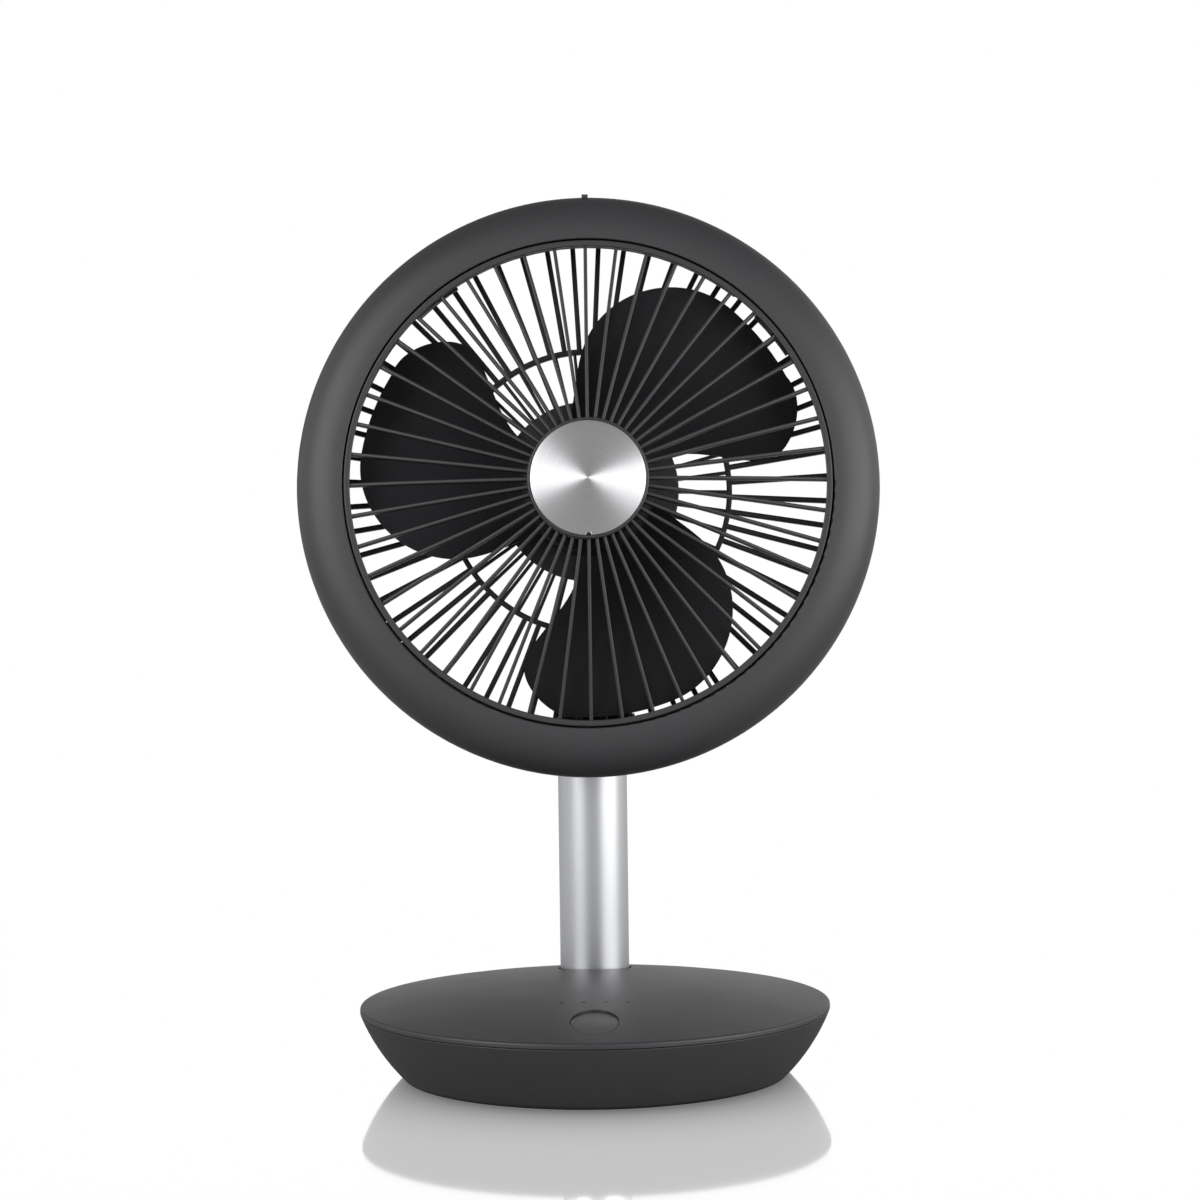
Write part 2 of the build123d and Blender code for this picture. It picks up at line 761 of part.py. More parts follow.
def bracket_screw_points():
    """Places of the bracket's four screws, two on each side of the ears."""
    outer = bracket_half_width - small_head_radius - bracket_screw_inset
    inner = outer - 2 * small_head_radius - bracket_screw_gap
    y = -(pad_top + pad_bottom) / 2
    return [(x, y) for x in (-outer, -inner, inner, outer)]


def tilt_bracket():
    """The steel bracket on the back of the ring: a plate with two ears round the knuckle's eye."""
    plate_back = -pad_rear - bracket_plate
    bottom = -pad_bottom + bracket_margin
    top = -pad_top
    plate = block(2 * bracket_half_width, (bottom, top), (plate_back, -pad_rear))
    plate = fillet(plate.edges().filter_by(Axis.Z), bracket_round)
    side = Plane.YZ * make_hull([
        Circle(ear_radius).edge().moved(Location((-pin_drop, -pin_back, 0))),
        Line((bottom + bracket_round, plate_back), (top, plate_back)),
    ])
    ear = Pos(ear_inner(), 0, 0) * extrude(side, ear_thickness)
    bracket = plate + ear + mirror(ear, Plane.YZ)
    bracket -= pin_axis(0) * Cylinder(pin_radius + close_fit, 6 * eye_half_width)
    bracket -= at_points(disc(small_screw_radius + close_fit, plate_back - 1, 0), bracket_screw_points())
    return bracket


def bracket_screws():
    """Four screws that hold the bracket on the ring's pad."""
    fastener = small_screw(-pad_rear - bracket_plate, bracket_screw_length)
    return Part() + at_points(fastener, bracket_screw_points())


def friction_washers():
    """Two washers that hold the head's angle, one each side of the eye."""
    thickness = friction_washer - 2 * hinge_play
    washer = Cylinder(ear_radius - 0.5, thickness) - Cylinder(pin_radius + close_fit, 2)
    middle = eye_half_width + friction_washer / 2
    return Part() + [pin_axis(side * middle) * washer for side in (-1, 1)]


def tilt_pin():
    """The bolt through ears and eye, with its head on the left."""
    outer = ear_inner() + ear_thickness
    right = outer + spring_washer + nut_height + 1
    shank = pin_axis((right - outer) / 2) * Cylinder(pin_radius, right + outer)
    head = pin_axis(-outer - pin_head_height / 2) * Cylinder(pin_head_radius, pin_head_height)
    return shank + head


def tilt_spring_washer():
    """The spring washer that keeps the joint tight."""
    middle = ear_inner() + ear_thickness + spring_washer / 2
    washer = Cylinder(pin_head_radius, spring_washer) - Cylinder(pin_radius + close_fit, 3)
    return pin_axis(middle) * washer


def tilt_nut():
    """The hexagonal nut on the tilt bolt."""
    start = ear_inner() + ear_thickness + spring_washer
    flat = extrude(RegularPolygon(nut_across / 2, 6, major_radius=False), nut_height)
    return pin_axis(start) * (flat - Pos(0, 0, nut_height / 2) * Cylinder(pin_radius + close_fit, 9))


# ---------------------------------------------------------------- head shells
def quarter(inner, depth, inset, rounding=0.0):
    """A quarter ellipse about an inner radius, turned about the axis: half of the ring's form."""
    reach = ring_radius - inner - inset
    rise = depth - inset
    curve = EllipticalCenterArc((inner, 0), reach, rise, 0, arc_size=90)
    corner = Polyline((inner, rise), (inner, 0), (inner + reach, 0))
    section = make_face([curve, corner])
    if rounding:
        section = fillet(section.vertices().sort_by(Axis.Y)[-1], rounding)
    return Rot(0, 0, -90) * revolve(Plane.XZ * section, Axis.Z)


def front_half(inset):
    """The ring's form ahead of its seam, its inner edge rounded where nothing is taken off."""
    return quarter(ring_inner, ring_front, inset, 0.0 if inset else ring_round)


def rear_half(inset):
    """The ring's form behind its seam, with a flat edge round the back opening."""
    edge = ring(rear_lip_inner - 1, ring_back + 0.01, 0, ring_rear - inset)
    return mirror(quarter(ring_back, ring_rear, inset) + edge, Plane.XY)


def front_ring():
    """The front half of the ring: outer skin, duct wall, the grille's ledge and the screw bosses."""
    body = front_half(0) - (front_half(wall) - disc(duct_outer, -1, ring_front))
    body += duct_wall_solid()
    body += ring(ledge_inner, ring_inner + 0.5, ledge_top - ledge_thickness, ledge_top)
    notch = sector(ledge_inner - 1, rim_outer, -hook_angle - 0.5, hook_angle + 0.5,
                   ledge_top - ledge_thickness - 1, ledge_top + 1)
    body -= around(notch, hook_angles)
    slit = Pos(rim_outer, 0, ledge_top) * Box(2 * grille_gap, latch_slit, 4 * ledge_thickness)
    body -= around(slit, latch_angles)
    tongue = ring_radius - wall - seat_gap - 0.2
    body += ring(tongue - tongue_thickness, tongue, -tongue_depth, 1) + (
        ring(tongue - tongue_thickness, ring_radius - wall / 2, 0, 2) & front_half(wall / 2))
    column = Pos(0, head_screw_circle, 0) * disc(head_boss_radius, -head_boss_depth, ring_front)
    upper = front_half(wall / 2) + disc(ring_radius - wall - seat_gap, -ring_rear, 0.01)
    body += [copy & upper for copy in around(column, head_screw_angles)]
    hole = disc(screw_radius + close_fit, -ring_rear, ring_front - head_screw_end)
    body -= around(Pos(0, head_screw_circle, 0) * hole, head_screw_angles)
    body += Pos(0, ring_radius, nub_depth / 2 + 0.2) * Box(nub_width, 2 * nub_height, nub_depth)
    return body


def duct_wall_solid():
    """The wall of the duct: a cone that widens from the grille's opening to the rear grille."""
    section = Polyline((ring_inner, 1), (duct_outer, 1), (rear_opening + duct_wall, -duct_rear),
                       (rear_opening, -duct_rear), close=True)
    return revolve(Plane.XZ * make_face(section), Axis.Z)


def rear_shell():
    """The rear half of the ring, with its collar, lip, screw wells and the pad for the bracket."""
    body = rear_half(0) - (rear_half(wall) - disc(collar_outer, -ring_rear, 1))
    pad = block(2 * pad_half_width, (-pad_bottom, -pad_top), (-pad_rear, -pad_front))
    body += fillet(pad.edges().filter_by(Axis.Z), bracket_round)
    well = Pos(0, head_screw_circle, 0) * disc(head_boss_radius, -ring_rear, -head_boss_depth - seat_gap)
    body += [copy & rear_half(wall / 2) for copy in around(well, head_screw_angles)]
    body -= disc(rear_lip_inner, -ring_rear - 1, 1)
    body -= disc(collar_inner, -ring_rear + rear_lip, 1)
    body -= disc(collar_outer + 0.1, -ring_rear + collar_depth, 1)
    hole = disc(screw_radius + close_fit, -ring_rear - 1, 1)
    hole += disc(screw_head_radius + 0.2, -ring_rear - 1, -head_boss_rear)
    body -= around(Pos(0, head_screw_circle, 0) * hole, head_screw_angles)
    body -= disc(ring_radius + 1, -seam_gap, 1)
    hole = disc(small_screw_radius + close_fit, -pad_rear - 1, -pad_rear + bracket_screw_length + 0.5)
    return body - at_points(hole, bracket_screw_points())


def head_screws():
    """Six screws from behind that join the ring's two halves."""
    fastener = screw(screw_radius, screw_head_radius, screw_head_height, -head_boss_rear, head_screw_length)
    return Part() + around(Pos(0, head_screw_circle, 0) * fastener, head_screw_angles)


# ---------------------------------------------------------------- front grille
def grille_rib():
    """One rib: a thin upright fin from the hub to the rim, its front edge gently crowned."""
    start = hub_radius - 1
    end = rim_inner + 0.8
    front_start = hub_front - rib_start_sink
    front_end = rim_front - rib_sink
    middle = ((start + end) / 2, (front_start + front_end) / 2 + rib_crown)
    front = ThreePointArc((start, front_start), middle, (end, front_end))
    back = ThreePointArc((end, front_end - rib_depth), (middle[0], middle[1] - rib_depth),
                         (start, front_start - rib_depth))
    edges = [front, Line(front @ 1, back @ 0), back, Line(back @ 1, front @ 0)]
    rib = extrude(Plane.YZ * make_face(edges), rib_thickness / 2, both=True)
    return fillet(rib.edges().filter_by(GeomType.CIRCLE).group_by(Axis.Z)[-1], rib_round)


def hook(angle):
    """One hook of the twist lock: a stem through the ledge and a foot under it."""
    outer = rim_outer - hook_inset
    foot_top = ledge_top - ledge_thickness - hook_play
    stem_end = angle - hook_play
    stem_start = stem_end - hook_angle
    stem = sector(outer - hook_thickness, outer, stem_start, stem_end, foot_top - hook_foot, rim_rear + 0.5)
    foot = sector(outer - hook_thickness, outer, stem_start - hook_angle, stem_start + 0.5,
                  foot_top - hook_foot, foot_top)
    return stem + foot


def front_grille():
    """The front grille: rim, straight ribs, hub with a recess for the badge and the lock's hooks."""
    rim = Polyline((rim_inner, rim_front), (rim_outer, rim_front), (rim_outer, rim_rear),
                   (rim_back_inner, rim_rear), close=True)
    grille = revolve(Plane.XZ * make_face(rim), Axis.Z)
    grille = fillet(grille.edges().group_by(Axis.Z)[-1], rim_round)
    hub = disc(hub_radius, hub_front - hub_depth, hub_front)
    grille += fillet(hub.edges().group_by(Axis.Z)[-1], hub_round)
    grille += around(grille_rib(), even_angles(rib_count))
    grille -= disc(badge_radius + badge_gap, badge_back(), hub_front + 1)
    grille -= disc(hub_radius - hub_wall, 0, hub_front - hub_plate)
    grille += [hook(angle) for angle in hook_angles]
    slit = Pos(rim_outer, 0, rim_front) * Box(2 * latch_depth, latch_slit, 2 * latch_length)
    grille -= around(slit, latch_angles)
    return grille


def badge_back():
    """Where the badge's back lies in the hub's recess."""
    return hub_front - badge_thickness + badge_proud


def badge():
    """The plain spun-aluminium disc in the hub, with a small notch at the bottom."""
    plate = disc(badge_radius, badge_back(), badge_back() + badge_thickness)
    plate = fillet(plate.edges().group_by(Axis.Z)[-1], badge_round)
    return plate - Pos(0, -badge_radius, badge_back()) * Cylinder(badge_notch / 2, 4 * badge_thickness)


# ---------------------------------------------------------------- rear grille
def bar(width, inner, outer):
    """One radial bar of the rear grille."""
    return block(width, (inner - 0.6, outer + 0.6), (motor_back, motor_face))


def rear_grille():
    """The rear guard: rim, sixty outer bars, a ring, forty-five inner bars and the motor's plate."""
    mid_inner = mid_ring_radius - mid_ring_width / 2
    mid_outer = mid_ring_radius + mid_ring_width / 2
    guard = ring(rear_opening, guard_outer, motor_back, motor_face)
    guard += ring(mid_inner, mid_outer, motor_back, motor_face)
    guard += disc(motor_plate_radius, motor_back, motor_face)
    half_pitch = 180.0 / outer_bars
    outer_bar = bar(outer_bar_width, mid_outer, rear_opening)
    inner_bar = bar(inner_bar_width, motor_plate_radius, mid_inner)
    guard += around(outer_bar, even_angles(outer_bars, half_pitch))
    guard += around(inner_bar, even_angles(inner_bars, half_pitch))
    hole = Pos(0, motor_screw_circle, 0) * disc(screw_radius + close_fit, motor_back - 1, motor_face + 1)
    guard -= around(hole, motor_screw_angles)
    return guard - disc(bearing_radius + tube_wall + close_fit, motor_back - 1, motor_face + 1)


# ---------------------------------------------------------------- rotor
def blade_section(share, shift, slope):
    """A thin curved strip across the blade at a share of the tip radius from the axis."""
    def strip(height):
        ends = [(shift + side * blade_reach, height - side * slope * blade_reach) for side in (-1, 1)]
        return ThreePointArc(ends[0], (shift, height - blade_camber), ends[1])

    lower = strip(-blade_mid_depth - blade_thickness / 2)
    upper = strip(-blade_mid_depth + blade_thickness / 2)
    edges = [lower, Line(lower @ 1, upper @ 1), upper, Line(upper @ 0, lower @ 0)]
    across = Plane(origin=(0, share * tip_radius, 0), x_dir=(1, 0, 0), z_dir=(0, -1, 0))
    return across * make_face(edges)


def blade_outline():
    """The blade seen from the front: a swept edge, an arc at the tip and a round edge."""
    swept = Spline(*[polar(tip_radius * share, angle) for angle, share in swept_edge])
    tip = ThreePointArc(swept @ 1, polar(tip_radius, 50), polar(tip_radius, round_edge[0][0]))
    leading = Spline(*[polar(tip_radius * share, angle) for angle, share in round_edge])
    root = ThreePointArc(leading @ 1, polar(rotor_hub_radius - 1, 26), swept @ 0)
    return make_face([swept, tip, leading, root])


def blade():
    """One blade: the curved strips lofted outwards and trimmed to the outline."""
    strips = [blade_section(*section) for section in blade_sections]
    sheet = Rot(0, 0, -blade_mid_angle) * loft(strips)
    prism = Pos(0, 0, -30) * extrude(blade_outline(), 50)
    return sheet & prism


def rotor():
    """The three-bladed rotor: a round hub cup with a boss for the shaft and the blades round it."""
    hub = disc(rotor_hub_radius, -rotor_hub_rear, rotor_hub_front)
    hub = fillet(hub.edges().group_by(Axis.Z)[-1], rotor_hub_round)
    hub -= disc(rotor_hub_radius - rotor_hub_wall, -rotor_hub_rear - 1, rotor_hub_front - rotor_hub_top)
    hub += around(blade(), even_angles(blade_count))
    hub -= disc(rotor_hub_radius - rotor_hub_wall, -rotor_hub_rear - 1, rotor_hub_front - rotor_hub_top)
    hub += disc(rotor_boss_radius, cup_top() + 0.1, rotor_hub_front)
    return hub - disc(shaft_radius + close_fit, -rotor_hub_rear, rotor_hub_front + 1)


def cup_top():
    """Front of the steel cup inside the rotor's hub."""
    return rotor_hub_front - rotor_hub_top - cup_gap


def rotor_cap():
    """The nut that holds the rotor on its shaft."""
    cap = disc(cap_radius, rotor_hub_front, rotor_hub_front + cap_height)
    cap = fillet(cap.edges().group_by(Axis.Z)[-1], cap_round)
    return cap - disc(shaft_radius + close_fit, 0, rotor_hub_front + cap_height - cap_bore_end)


# ---------------------------------------------------------------- motor
def cup_radius():
    """Outer radius of the steel cup."""
    return rotor_hub_radius - rotor_hub_wall - cup_gap


def magnet_radius():
    """Outer radius of the magnet ring."""
    return cup_radius() - cup_wall - close_fit


def stator_radius():
    """Outer radius of the stator's teeth."""
    return magnet_radius() - magnet_thickness - air_gap


def stator_middle():
    """Middle of the stator along the axis."""
    return (cup_top() - cup_wall + motor_face + motor_flange) / 2


def rotor_cup():
    """The steel cup that carries the magnets."""
    outer = cup_radius()
    cup = disc(outer, -rotor_hub_rear + 0.5, cup_top())
    cup -= disc(outer - cup_wall, -rotor_hub_rear - 1, cup_top() - cup_wall)
    return cup - disc(shaft_radius + close_fit, -1, cup_top() + 1)


def magnet_ring():
    """The ring of magnets inside the cup."""
    outer = magnet_radius()
    middle = stator_middle()
    return ring(outer - magnet_thickness, outer, middle - magnet_length / 2, middle + magnet_length / 2)


def motor_shaft():
    """The steel shaft from the rear bearing to the cap."""
    return disc(shaft_radius, motor_face - 2, rotor_hub_front + cap_height - cap_bore_end - 0.4)


def motor_bearings():
    """Two ball bearings on the shaft."""
    bearing = ring(shaft_radius + close_fit, bearing_radius, 0, bearing_length)
    front = stator_middle() + stator_thickness / 2 - bearing_length + tube_end
    return Part() + [Pos(0, 0, motor_face + bearing_seat) * bearing, Pos(0, 0, front) * bearing]


def bearing_tube():
    """The turned tube that holds the bearings and the stator on the rear guard."""
    outer = bearing_radius + tube_wall
    tube = disc(outer, motor_back + 0.5, stator_middle() + stator_thickness / 2 + tube_end)
    tube += disc(motor_flange_radius, motor_face, motor_face + motor_flange)
    tube -= disc(bearing_radius + close_fit, motor_face - 1, rotor_hub_front)
    return tube - disc(tube_rear_bore, motor_back - 1, 0)


def stator_core():
    """The laminated core: nine teeth with curved shoes round a ring."""
    half = stator_thickness / 2
    middle = stator_middle()
    low, high = middle - half, middle + half
    core = disc(stator_root, low, high)
    outer = stator_radius()
    tooth = block(tooth_width, (stator_root - 1, outer - 0.5), (low, high))
    core += around(tooth, even_angles(tooth_count))
    shoe_half = 180.0 * shoe_share / tooth_count
    shoe = sector(outer - shoe_thickness, outer, 90 - shoe_half, 90 + shoe_half, low, high)
    core += around(shoe, even_angles(tooth_count))
    return core - disc(bearing_radius + tube_wall + close_fit, low - 1, high + 1)


def stator_windings():
    """Nine copper coils, one round each tooth."""
    middle = stator_middle()
    outer = stator_radius() - shoe_thickness - 0.4
    reach = (stator_root + 0.6, outer)
    half = stator_thickness / 2 + close_fit
    inside = block(tooth_width + 2 * close_fit, (0, outer + 1), (middle - half, middle + half))
    coil = block(tooth_width + 2 * coil_thickness, reach,
                 (middle - half - coil_thickness, middle + half + coil_thickness))
    return Part() + around(coil - inside, even_angles(tooth_count))


def driver_board():
    """The motor's round board behind the rear guard's plate."""
    top = motor_back - driver_gap
    board = ring(driver_inner, driver_radius, top - driver_thickness, top)
    for angle in motor_screw_angles:
        post = Pos(0, driver_radius - driver_post_inset, 0) * disc(driver_post_radius, top, motor_back)
        board += Rot(0, 0, angle + 60) * post
    return board


def motor_cover():
    """The round cap over the motor's back, with three screw posts."""
    back = motor_back - cover_depth
    cap = disc(cover_radius, back, motor_back)
    cap = fillet(cap.edges().group_by(Axis.Z)[0], cover_corner)
    hollow = disc(cover_radius - wall, back + wall, motor_back + 1)
    hollow = fillet(hollow.edges().group_by(Axis.Z)[0], cover_corner - wall)
    post = Pos(0, motor_screw_circle, 0) * disc(head_boss_radius, back + 2, motor_back)
    cap = cap - hollow + [copy & disc(cover_radius - 1, back + 1, motor_back) for copy in
                          around(post, motor_screw_angles)]
    hole = disc(screw_radius + close_fit, back - 1, motor_back + 1)
    hole += disc(screw_head_radius + 0.2, back - 1, back + motor_screw_seat)
    return cap - around(Pos(0, motor_screw_circle, 0) * hole, motor_screw_angles)


def motor_screws():
    """Three screws from behind that hold the motor's cover on the rear guard."""
    head_at = motor_back - cover_depth + motor_screw_seat
    length = motor_face - head_at - 0.2
    fastener = screw(screw_radius, screw_head_radius, screw_head_height, head_at, length)
    return Part() + around(Pos(0, motor_screw_circle, 0) * fastener, motor_screw_angles)


# ---------------------------------------------------------------- the assembly
base_pieces = (
    base_shell, top_cover, rubber_pad, base_screws, weight_plate, battery_tray, battery_cells,
    control_board, board_screws, tact_switch, switch_plunger, power_button, light_pipe,
    charging_board, charging_socket, swivel_housing, lower_washer, upper_thrust_washer,
    swivel_retainer, swivel_screws,
)
pole_pieces = (pole_foot, pole_tube, neck_screw, knuckle)
head_pieces = (
    tilt_bracket, bracket_screws, friction_washers, tilt_pin, tilt_spring_washer, tilt_nut, front_ring,
    rear_shell, head_screws, front_grille, badge, rear_grille, rotor, rotor_cap, rotor_cup, magnet_ring,
    motor_shaft, motor_bearings, bearing_tube, stator_core, stator_windings, driver_board, motor_cover,
    motor_screws,
)

os.makedirs("parts", exist_ok=True)
for piece in base_pieces + pole_pieces:
    export_step(piece(), f"parts/{piece.__name__}.step")
for piece in head_pieces:
    export_step(HEAD * piece(), f"parts/{piece.__name__}.step")
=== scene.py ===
"""Looks of a desktop air circulator, made on its CAD frame.

Every CAD piece gets a finish made of nodes. Front grille, badge, rear guard and button are made again with
softer edges and replace their CAD nodes. Floor, lamps and camera follow a product photograph. The pieces and
all names that end in _mm are in millimetres, and all else is in metres.
"""

from __future__ import annotations

import json
import logging
import math
from dataclasses import dataclass
from enum import Enum
from typing import Any, Sequence

import bmesh
import bpy
import numpy as np
from mathutils import Matrix, Vector


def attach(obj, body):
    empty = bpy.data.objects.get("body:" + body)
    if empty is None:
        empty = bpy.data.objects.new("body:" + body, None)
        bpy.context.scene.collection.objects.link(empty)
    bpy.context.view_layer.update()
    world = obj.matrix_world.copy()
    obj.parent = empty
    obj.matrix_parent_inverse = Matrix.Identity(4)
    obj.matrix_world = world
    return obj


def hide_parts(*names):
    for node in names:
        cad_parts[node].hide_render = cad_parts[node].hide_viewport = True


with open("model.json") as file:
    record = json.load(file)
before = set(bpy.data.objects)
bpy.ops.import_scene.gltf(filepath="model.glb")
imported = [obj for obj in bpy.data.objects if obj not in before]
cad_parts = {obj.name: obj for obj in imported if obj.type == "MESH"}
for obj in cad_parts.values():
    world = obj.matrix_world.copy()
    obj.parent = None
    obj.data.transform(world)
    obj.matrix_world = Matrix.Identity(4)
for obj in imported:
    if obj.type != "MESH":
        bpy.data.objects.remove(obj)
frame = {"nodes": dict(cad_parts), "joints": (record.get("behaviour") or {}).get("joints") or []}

Point = tuple[float, float]
Triple = tuple[float, float, float]
Tree = bpy.types.NodeTree
Node = bpy.types.Node
Socket = bpy.types.NodeSocket
Thing = bpy.types.Object

LOG = logging.getLogger("air_circulator")
MM = 0.001
WHITE = "#FFFFFF"
SPIN_MAP = "spin"
# Softening of edges, the samples that smooth it, and the part of a noise's range that is spread out.
EDGE_MM = 0.25
SMOOTHING_SAMPLES = 6
NOISE_BAND: Point = (0.3, 0.7)
# Edges that turn more stay sharp, points that lie closer become one, and a turned hub keeps a pinhole.
SHARP_DEGREES = 35.0
WELD_MM = 0.002
AXIS_HOLE_MM = 0.02


# ---- colour and nodes
def linear(code: str) -> tuple[float, float, float, float]:
    """Turn an sRGB hex code into the linear colour that Blender's sockets take.

    Args:
        code: Six hexadecimal digits after a hash sign.

    Returns:
        Red, green, blue and an alpha of 1.
    """
    values = [int(code[place : place + 2], 16) / 255 for place in (1, 3, 5)]
    red, green, blue = (v / 12.92 if v <= 0.04045 else ((v + 0.055) / 1.055) ** 2.4 for v in values)
    return (red, green, blue, 1.0)


def add_node(tree: Tree, kind: str, inputs: dict[Any, Any] | Sequence = (), **settings: Any) -> Node:
    """Add a node, set its properties, and set or link its inputs.

    Args:
        tree: The node tree that takes the node.
        kind: The node's type name.
        inputs: Values by input name or number, or in the order of the inputs. An output socket, or the first
            one of a node, is linked.
        settings: Properties of the node itself.

    Returns:
        The new node.
    """
    node = tree.nodes.new(kind)
    for name, value in settings.items():
        setattr(node, name, value)
    for key, value in inputs.items() if isinstance(inputs, dict) else enumerate(inputs):
        source = value.outputs[0] if isinstance(value, Node) else value
        if isinstance(source, Socket):
            tree.links.new(source, node.inputs[key])
        else:
            node.inputs[key].default_value = source
    return node


def empty_tree(owner: bpy.types.Material | bpy.types.World) -> Tree:
    """Give a material or world an empty node tree.

    Args:
        owner: The material or world.

    Returns:
        Its tree.
    """
    owner.use_nodes = True
    owner.node_tree.nodes.clear()
    return owner.node_tree


def dress(made: Thing, material: bpy.types.Material) -> None:
    """Give an object one material.

    Args:
        made: The object.
        material: The material.
    """
    made.data.materials.clear()
    made.data.materials.append(material)


class Coordinates(Enum):
    """Where a pattern reads its place from."""

    OBJECT = "Object"
    UV = "UV"


class Bands(Enum):
    """Which way the lines of a banded metal run."""

    TURNS = "DIAGONAL"
    SHEETS = "Y"


# ---- finishes
@dataclass(frozen=True)
class Finish:
    """A surface: its slot, the CAD nodes that wear it, its colour and how rough it is."""

    name: str
    nodes: tuple[str, ...]
    colour: str
    roughness: float
    roughness_spread: float = 0.0
    specular_level: float = 0.5

    @property
    def rough_band(self) -> Point:
        """Lowest and highest roughness."""
        return (self.roughness - self.roughness_spread, self.roughness + self.roughness_spread)

    def build(self) -> bpy.types.Material:
        """Make the material and dress the CAD nodes in it.

        Returns:
            A material with one principled shader and this finish's pattern.
        """
        material = bpy.data.materials.new(self.name)
        material.diffuse_color = linear(self.colour)
        tree = empty_tree(material)
        inputs = {"Base Color": linear(self.colour), "Roughness": self.roughness}
        inputs |= {"Specular IOR Level": self.specular_level} | self.paint(tree)
        shader = add_node(tree, "ShaderNodeBsdfPrincipled", inputs)
        add_node(tree, "ShaderNodeOutputMaterial", (shader,))
        for node in self.nodes:
            dress(frame["nodes"][node], material)
        return material

    def paint(self, tree: Tree) -> dict[str, Any]:
        """Make the pattern. Each kind of finish has its own.

        Args:
            tree: The material's nodes.

        Returns:
            The shader's inputs.
        """
        return {}

    @staticmethod
    def noise(
        tree: Tree,
        size_mm: float,
        stretch: Triple = (1.0, 1.0, 1.0),
        detail: float = 2.0,
        source: Coordinates = Coordinates.OBJECT,
        band: Point | None = None,
    ) -> Node:
        """Add a noise whose features have a real size.

        Args:
            tree: The material's nodes.
            size_mm: Size of a feature.
            stretch: Scale along each axis; less than 1 draws the features out.
            detail: Octaves.
            source: Object coordinates, or the piece's UV map in metres.
            band: Lowest and highest value, unless the noise is taken as it is.

        Returns:
            The noise.
        """
        place = add_node(tree, "ShaderNodeTexCoord").outputs[source.value]
        scaled = add_node(tree, "ShaderNodeMapping", {"Vector": place, "Scale": stretch})
        inputs = {"Vector": scaled, "Scale": 1 / (size_mm * MM), "Detail": detail}
        pattern = add_node(tree, "ShaderNodeTexNoise", inputs)
        return add_node(tree, "ShaderNodeMapRange", (pattern, *NOISE_BAND, *band)) if band else pattern

    @staticmethod
    def bump(tree: Tree, height: Node | Socket, depth_mm: float) -> Node:
        """Raise the surface by a height pattern, over softened edges.

        Args:
            tree: The material's nodes.
            height: The pattern, from 0 to 1.
            depth_mm: Height of the pattern's full range.

        Returns:
            The normal.
        """
        softened = add_node(tree, "ShaderNodeBevel", (EDGE_MM * MM,), samples=SMOOTHING_SAMPLES)
        inputs = {"Height": height, "Distance": depth_mm * MM, "Normal": softened}
        return add_node(tree, "ShaderNodeBump", inputs)

    def tint(self, tree: Tree, pattern: Node, other: str, most: float = 1.0) -> Socket:
        """Mix the colour with another by a pattern.

        Args:
            tree: The material's nodes.
            pattern: The pattern.
            other: The other colour's code.
            most: Its share where the pattern is strongest.

        Returns:
            The mixed colour.
        """
        share = add_node(tree, "ShaderNodeMapRange", (pattern, *NOISE_BAND, 0.0, most))
        factor, first, second, mixed = 0, 6, 7, 2
        inputs = {factor: share, first: linear(self.colour), second: linear(other)}
        return add_node(tree, "ShaderNodeMix", inputs, data_type="RGBA").outputs[mixed]


@dataclass(frozen=True, kw_only=True)
class Moulded(Finish):
    """Moulded plastic or rubber: a grain from the mould, and a faint cloudiness of the colour.

    A mould's real grain is about 0.1 mm wide, too fine to show, so it is drawn coarser.
    """

    worn: str
    worn_share: float = 0.5
    grain_mm: float = 0.32
    grain_depth_mm: float = 0.012
    cloud_mm: float = 22.0
    cloud_detail: float = 3.0
    roughness_spread: float = 0.015
    # Painted shade: within this reach, gaps and inner corners are darkened down to this tone.
    painted_shade_mm: float = 0.0
    painted_shade_tone: float = 0.12
    painted_shade_span: Point = (0.45, 0.92)

    def paint_crevice_shade(self, tree: Tree, colour: Socket) -> Node:
        """Darken a colour in gaps and inner corners by ambient occlusion: painted shade.

        Args:
            tree: The material's nodes.
            colour: The colour.

        Returns:
            The darkened colour.
        """
        reach = {"Distance": self.painted_shade_mm * MM}
        shade = add_node(tree, "ShaderNodeAmbientOcclusion", reach, samples=SMOOTHING_SAMPLES).outputs["AO"]
        tone = add_node(tree, "ShaderNodeMapRange", (shade, *self.painted_shade_span, self.painted_shade_tone, 1.0))
        return add_node(tree, "ShaderNodeVectorMath", {0: colour, "Scale": tone}, operation="SCALE")

    def paint(self, tree: Tree) -> dict[str, Any]:
        """Cloud the colour and the polish, add the grain, and, where a reach is set, paint shade into gaps
        and inner corners.

        Args:
            tree: The material's nodes.

        Returns:
            The shader's inputs.
        """
        cloud = self.noise(tree, self.cloud_mm, detail=self.cloud_detail)
        colour = self.tint(tree, cloud, self.worn, self.worn_share)
        grain = self.bump(tree, self.noise(tree, self.grain_mm), self.grain_depth_mm)
        # Painted shade darkens the colour in gaps and inner corners where a reach is set.
        made = {"Base Color": self.paint_crevice_shade(tree, colour) if self.painted_shade_mm else colour, "Normal": grain}
        if self.roughness_spread:
            made["Roughness"] = self.noise(tree, self.cloud_mm, detail=1.0, band=self.rough_band)
        return made


@dataclass(frozen=True)
class Metal(Finish):
    """Bare or oxidised metal. Drawing, turning or rolling leaves lines along one direction."""

    metallic: float = 1.0
    line_mm: float = 0.1
    line_detail: float = 3.0
    stretch: Triple = (0.2, 1.0, 1.0)
    line_depth_mm: float = 0.002
    roughness_spread: float = 0.04
    smear_mm: float = 9.0

    def paint(self, tree: Tree) -> dict[str, Any]:
        """Smear the polish and add the lines.

        Args:
            tree: The material's nodes.

        Returns:
            The shader's inputs.
        """
        lines = self.noise(tree, self.line_mm, self.stretch, self.line_detail)
        return {
            "Metallic": self.metallic,
            "Roughness": self.noise(tree, self.smear_mm, detail=3.0, band=self.rough_band),
            "Normal": self.bump(tree, lines, self.line_depth_mm),
        }


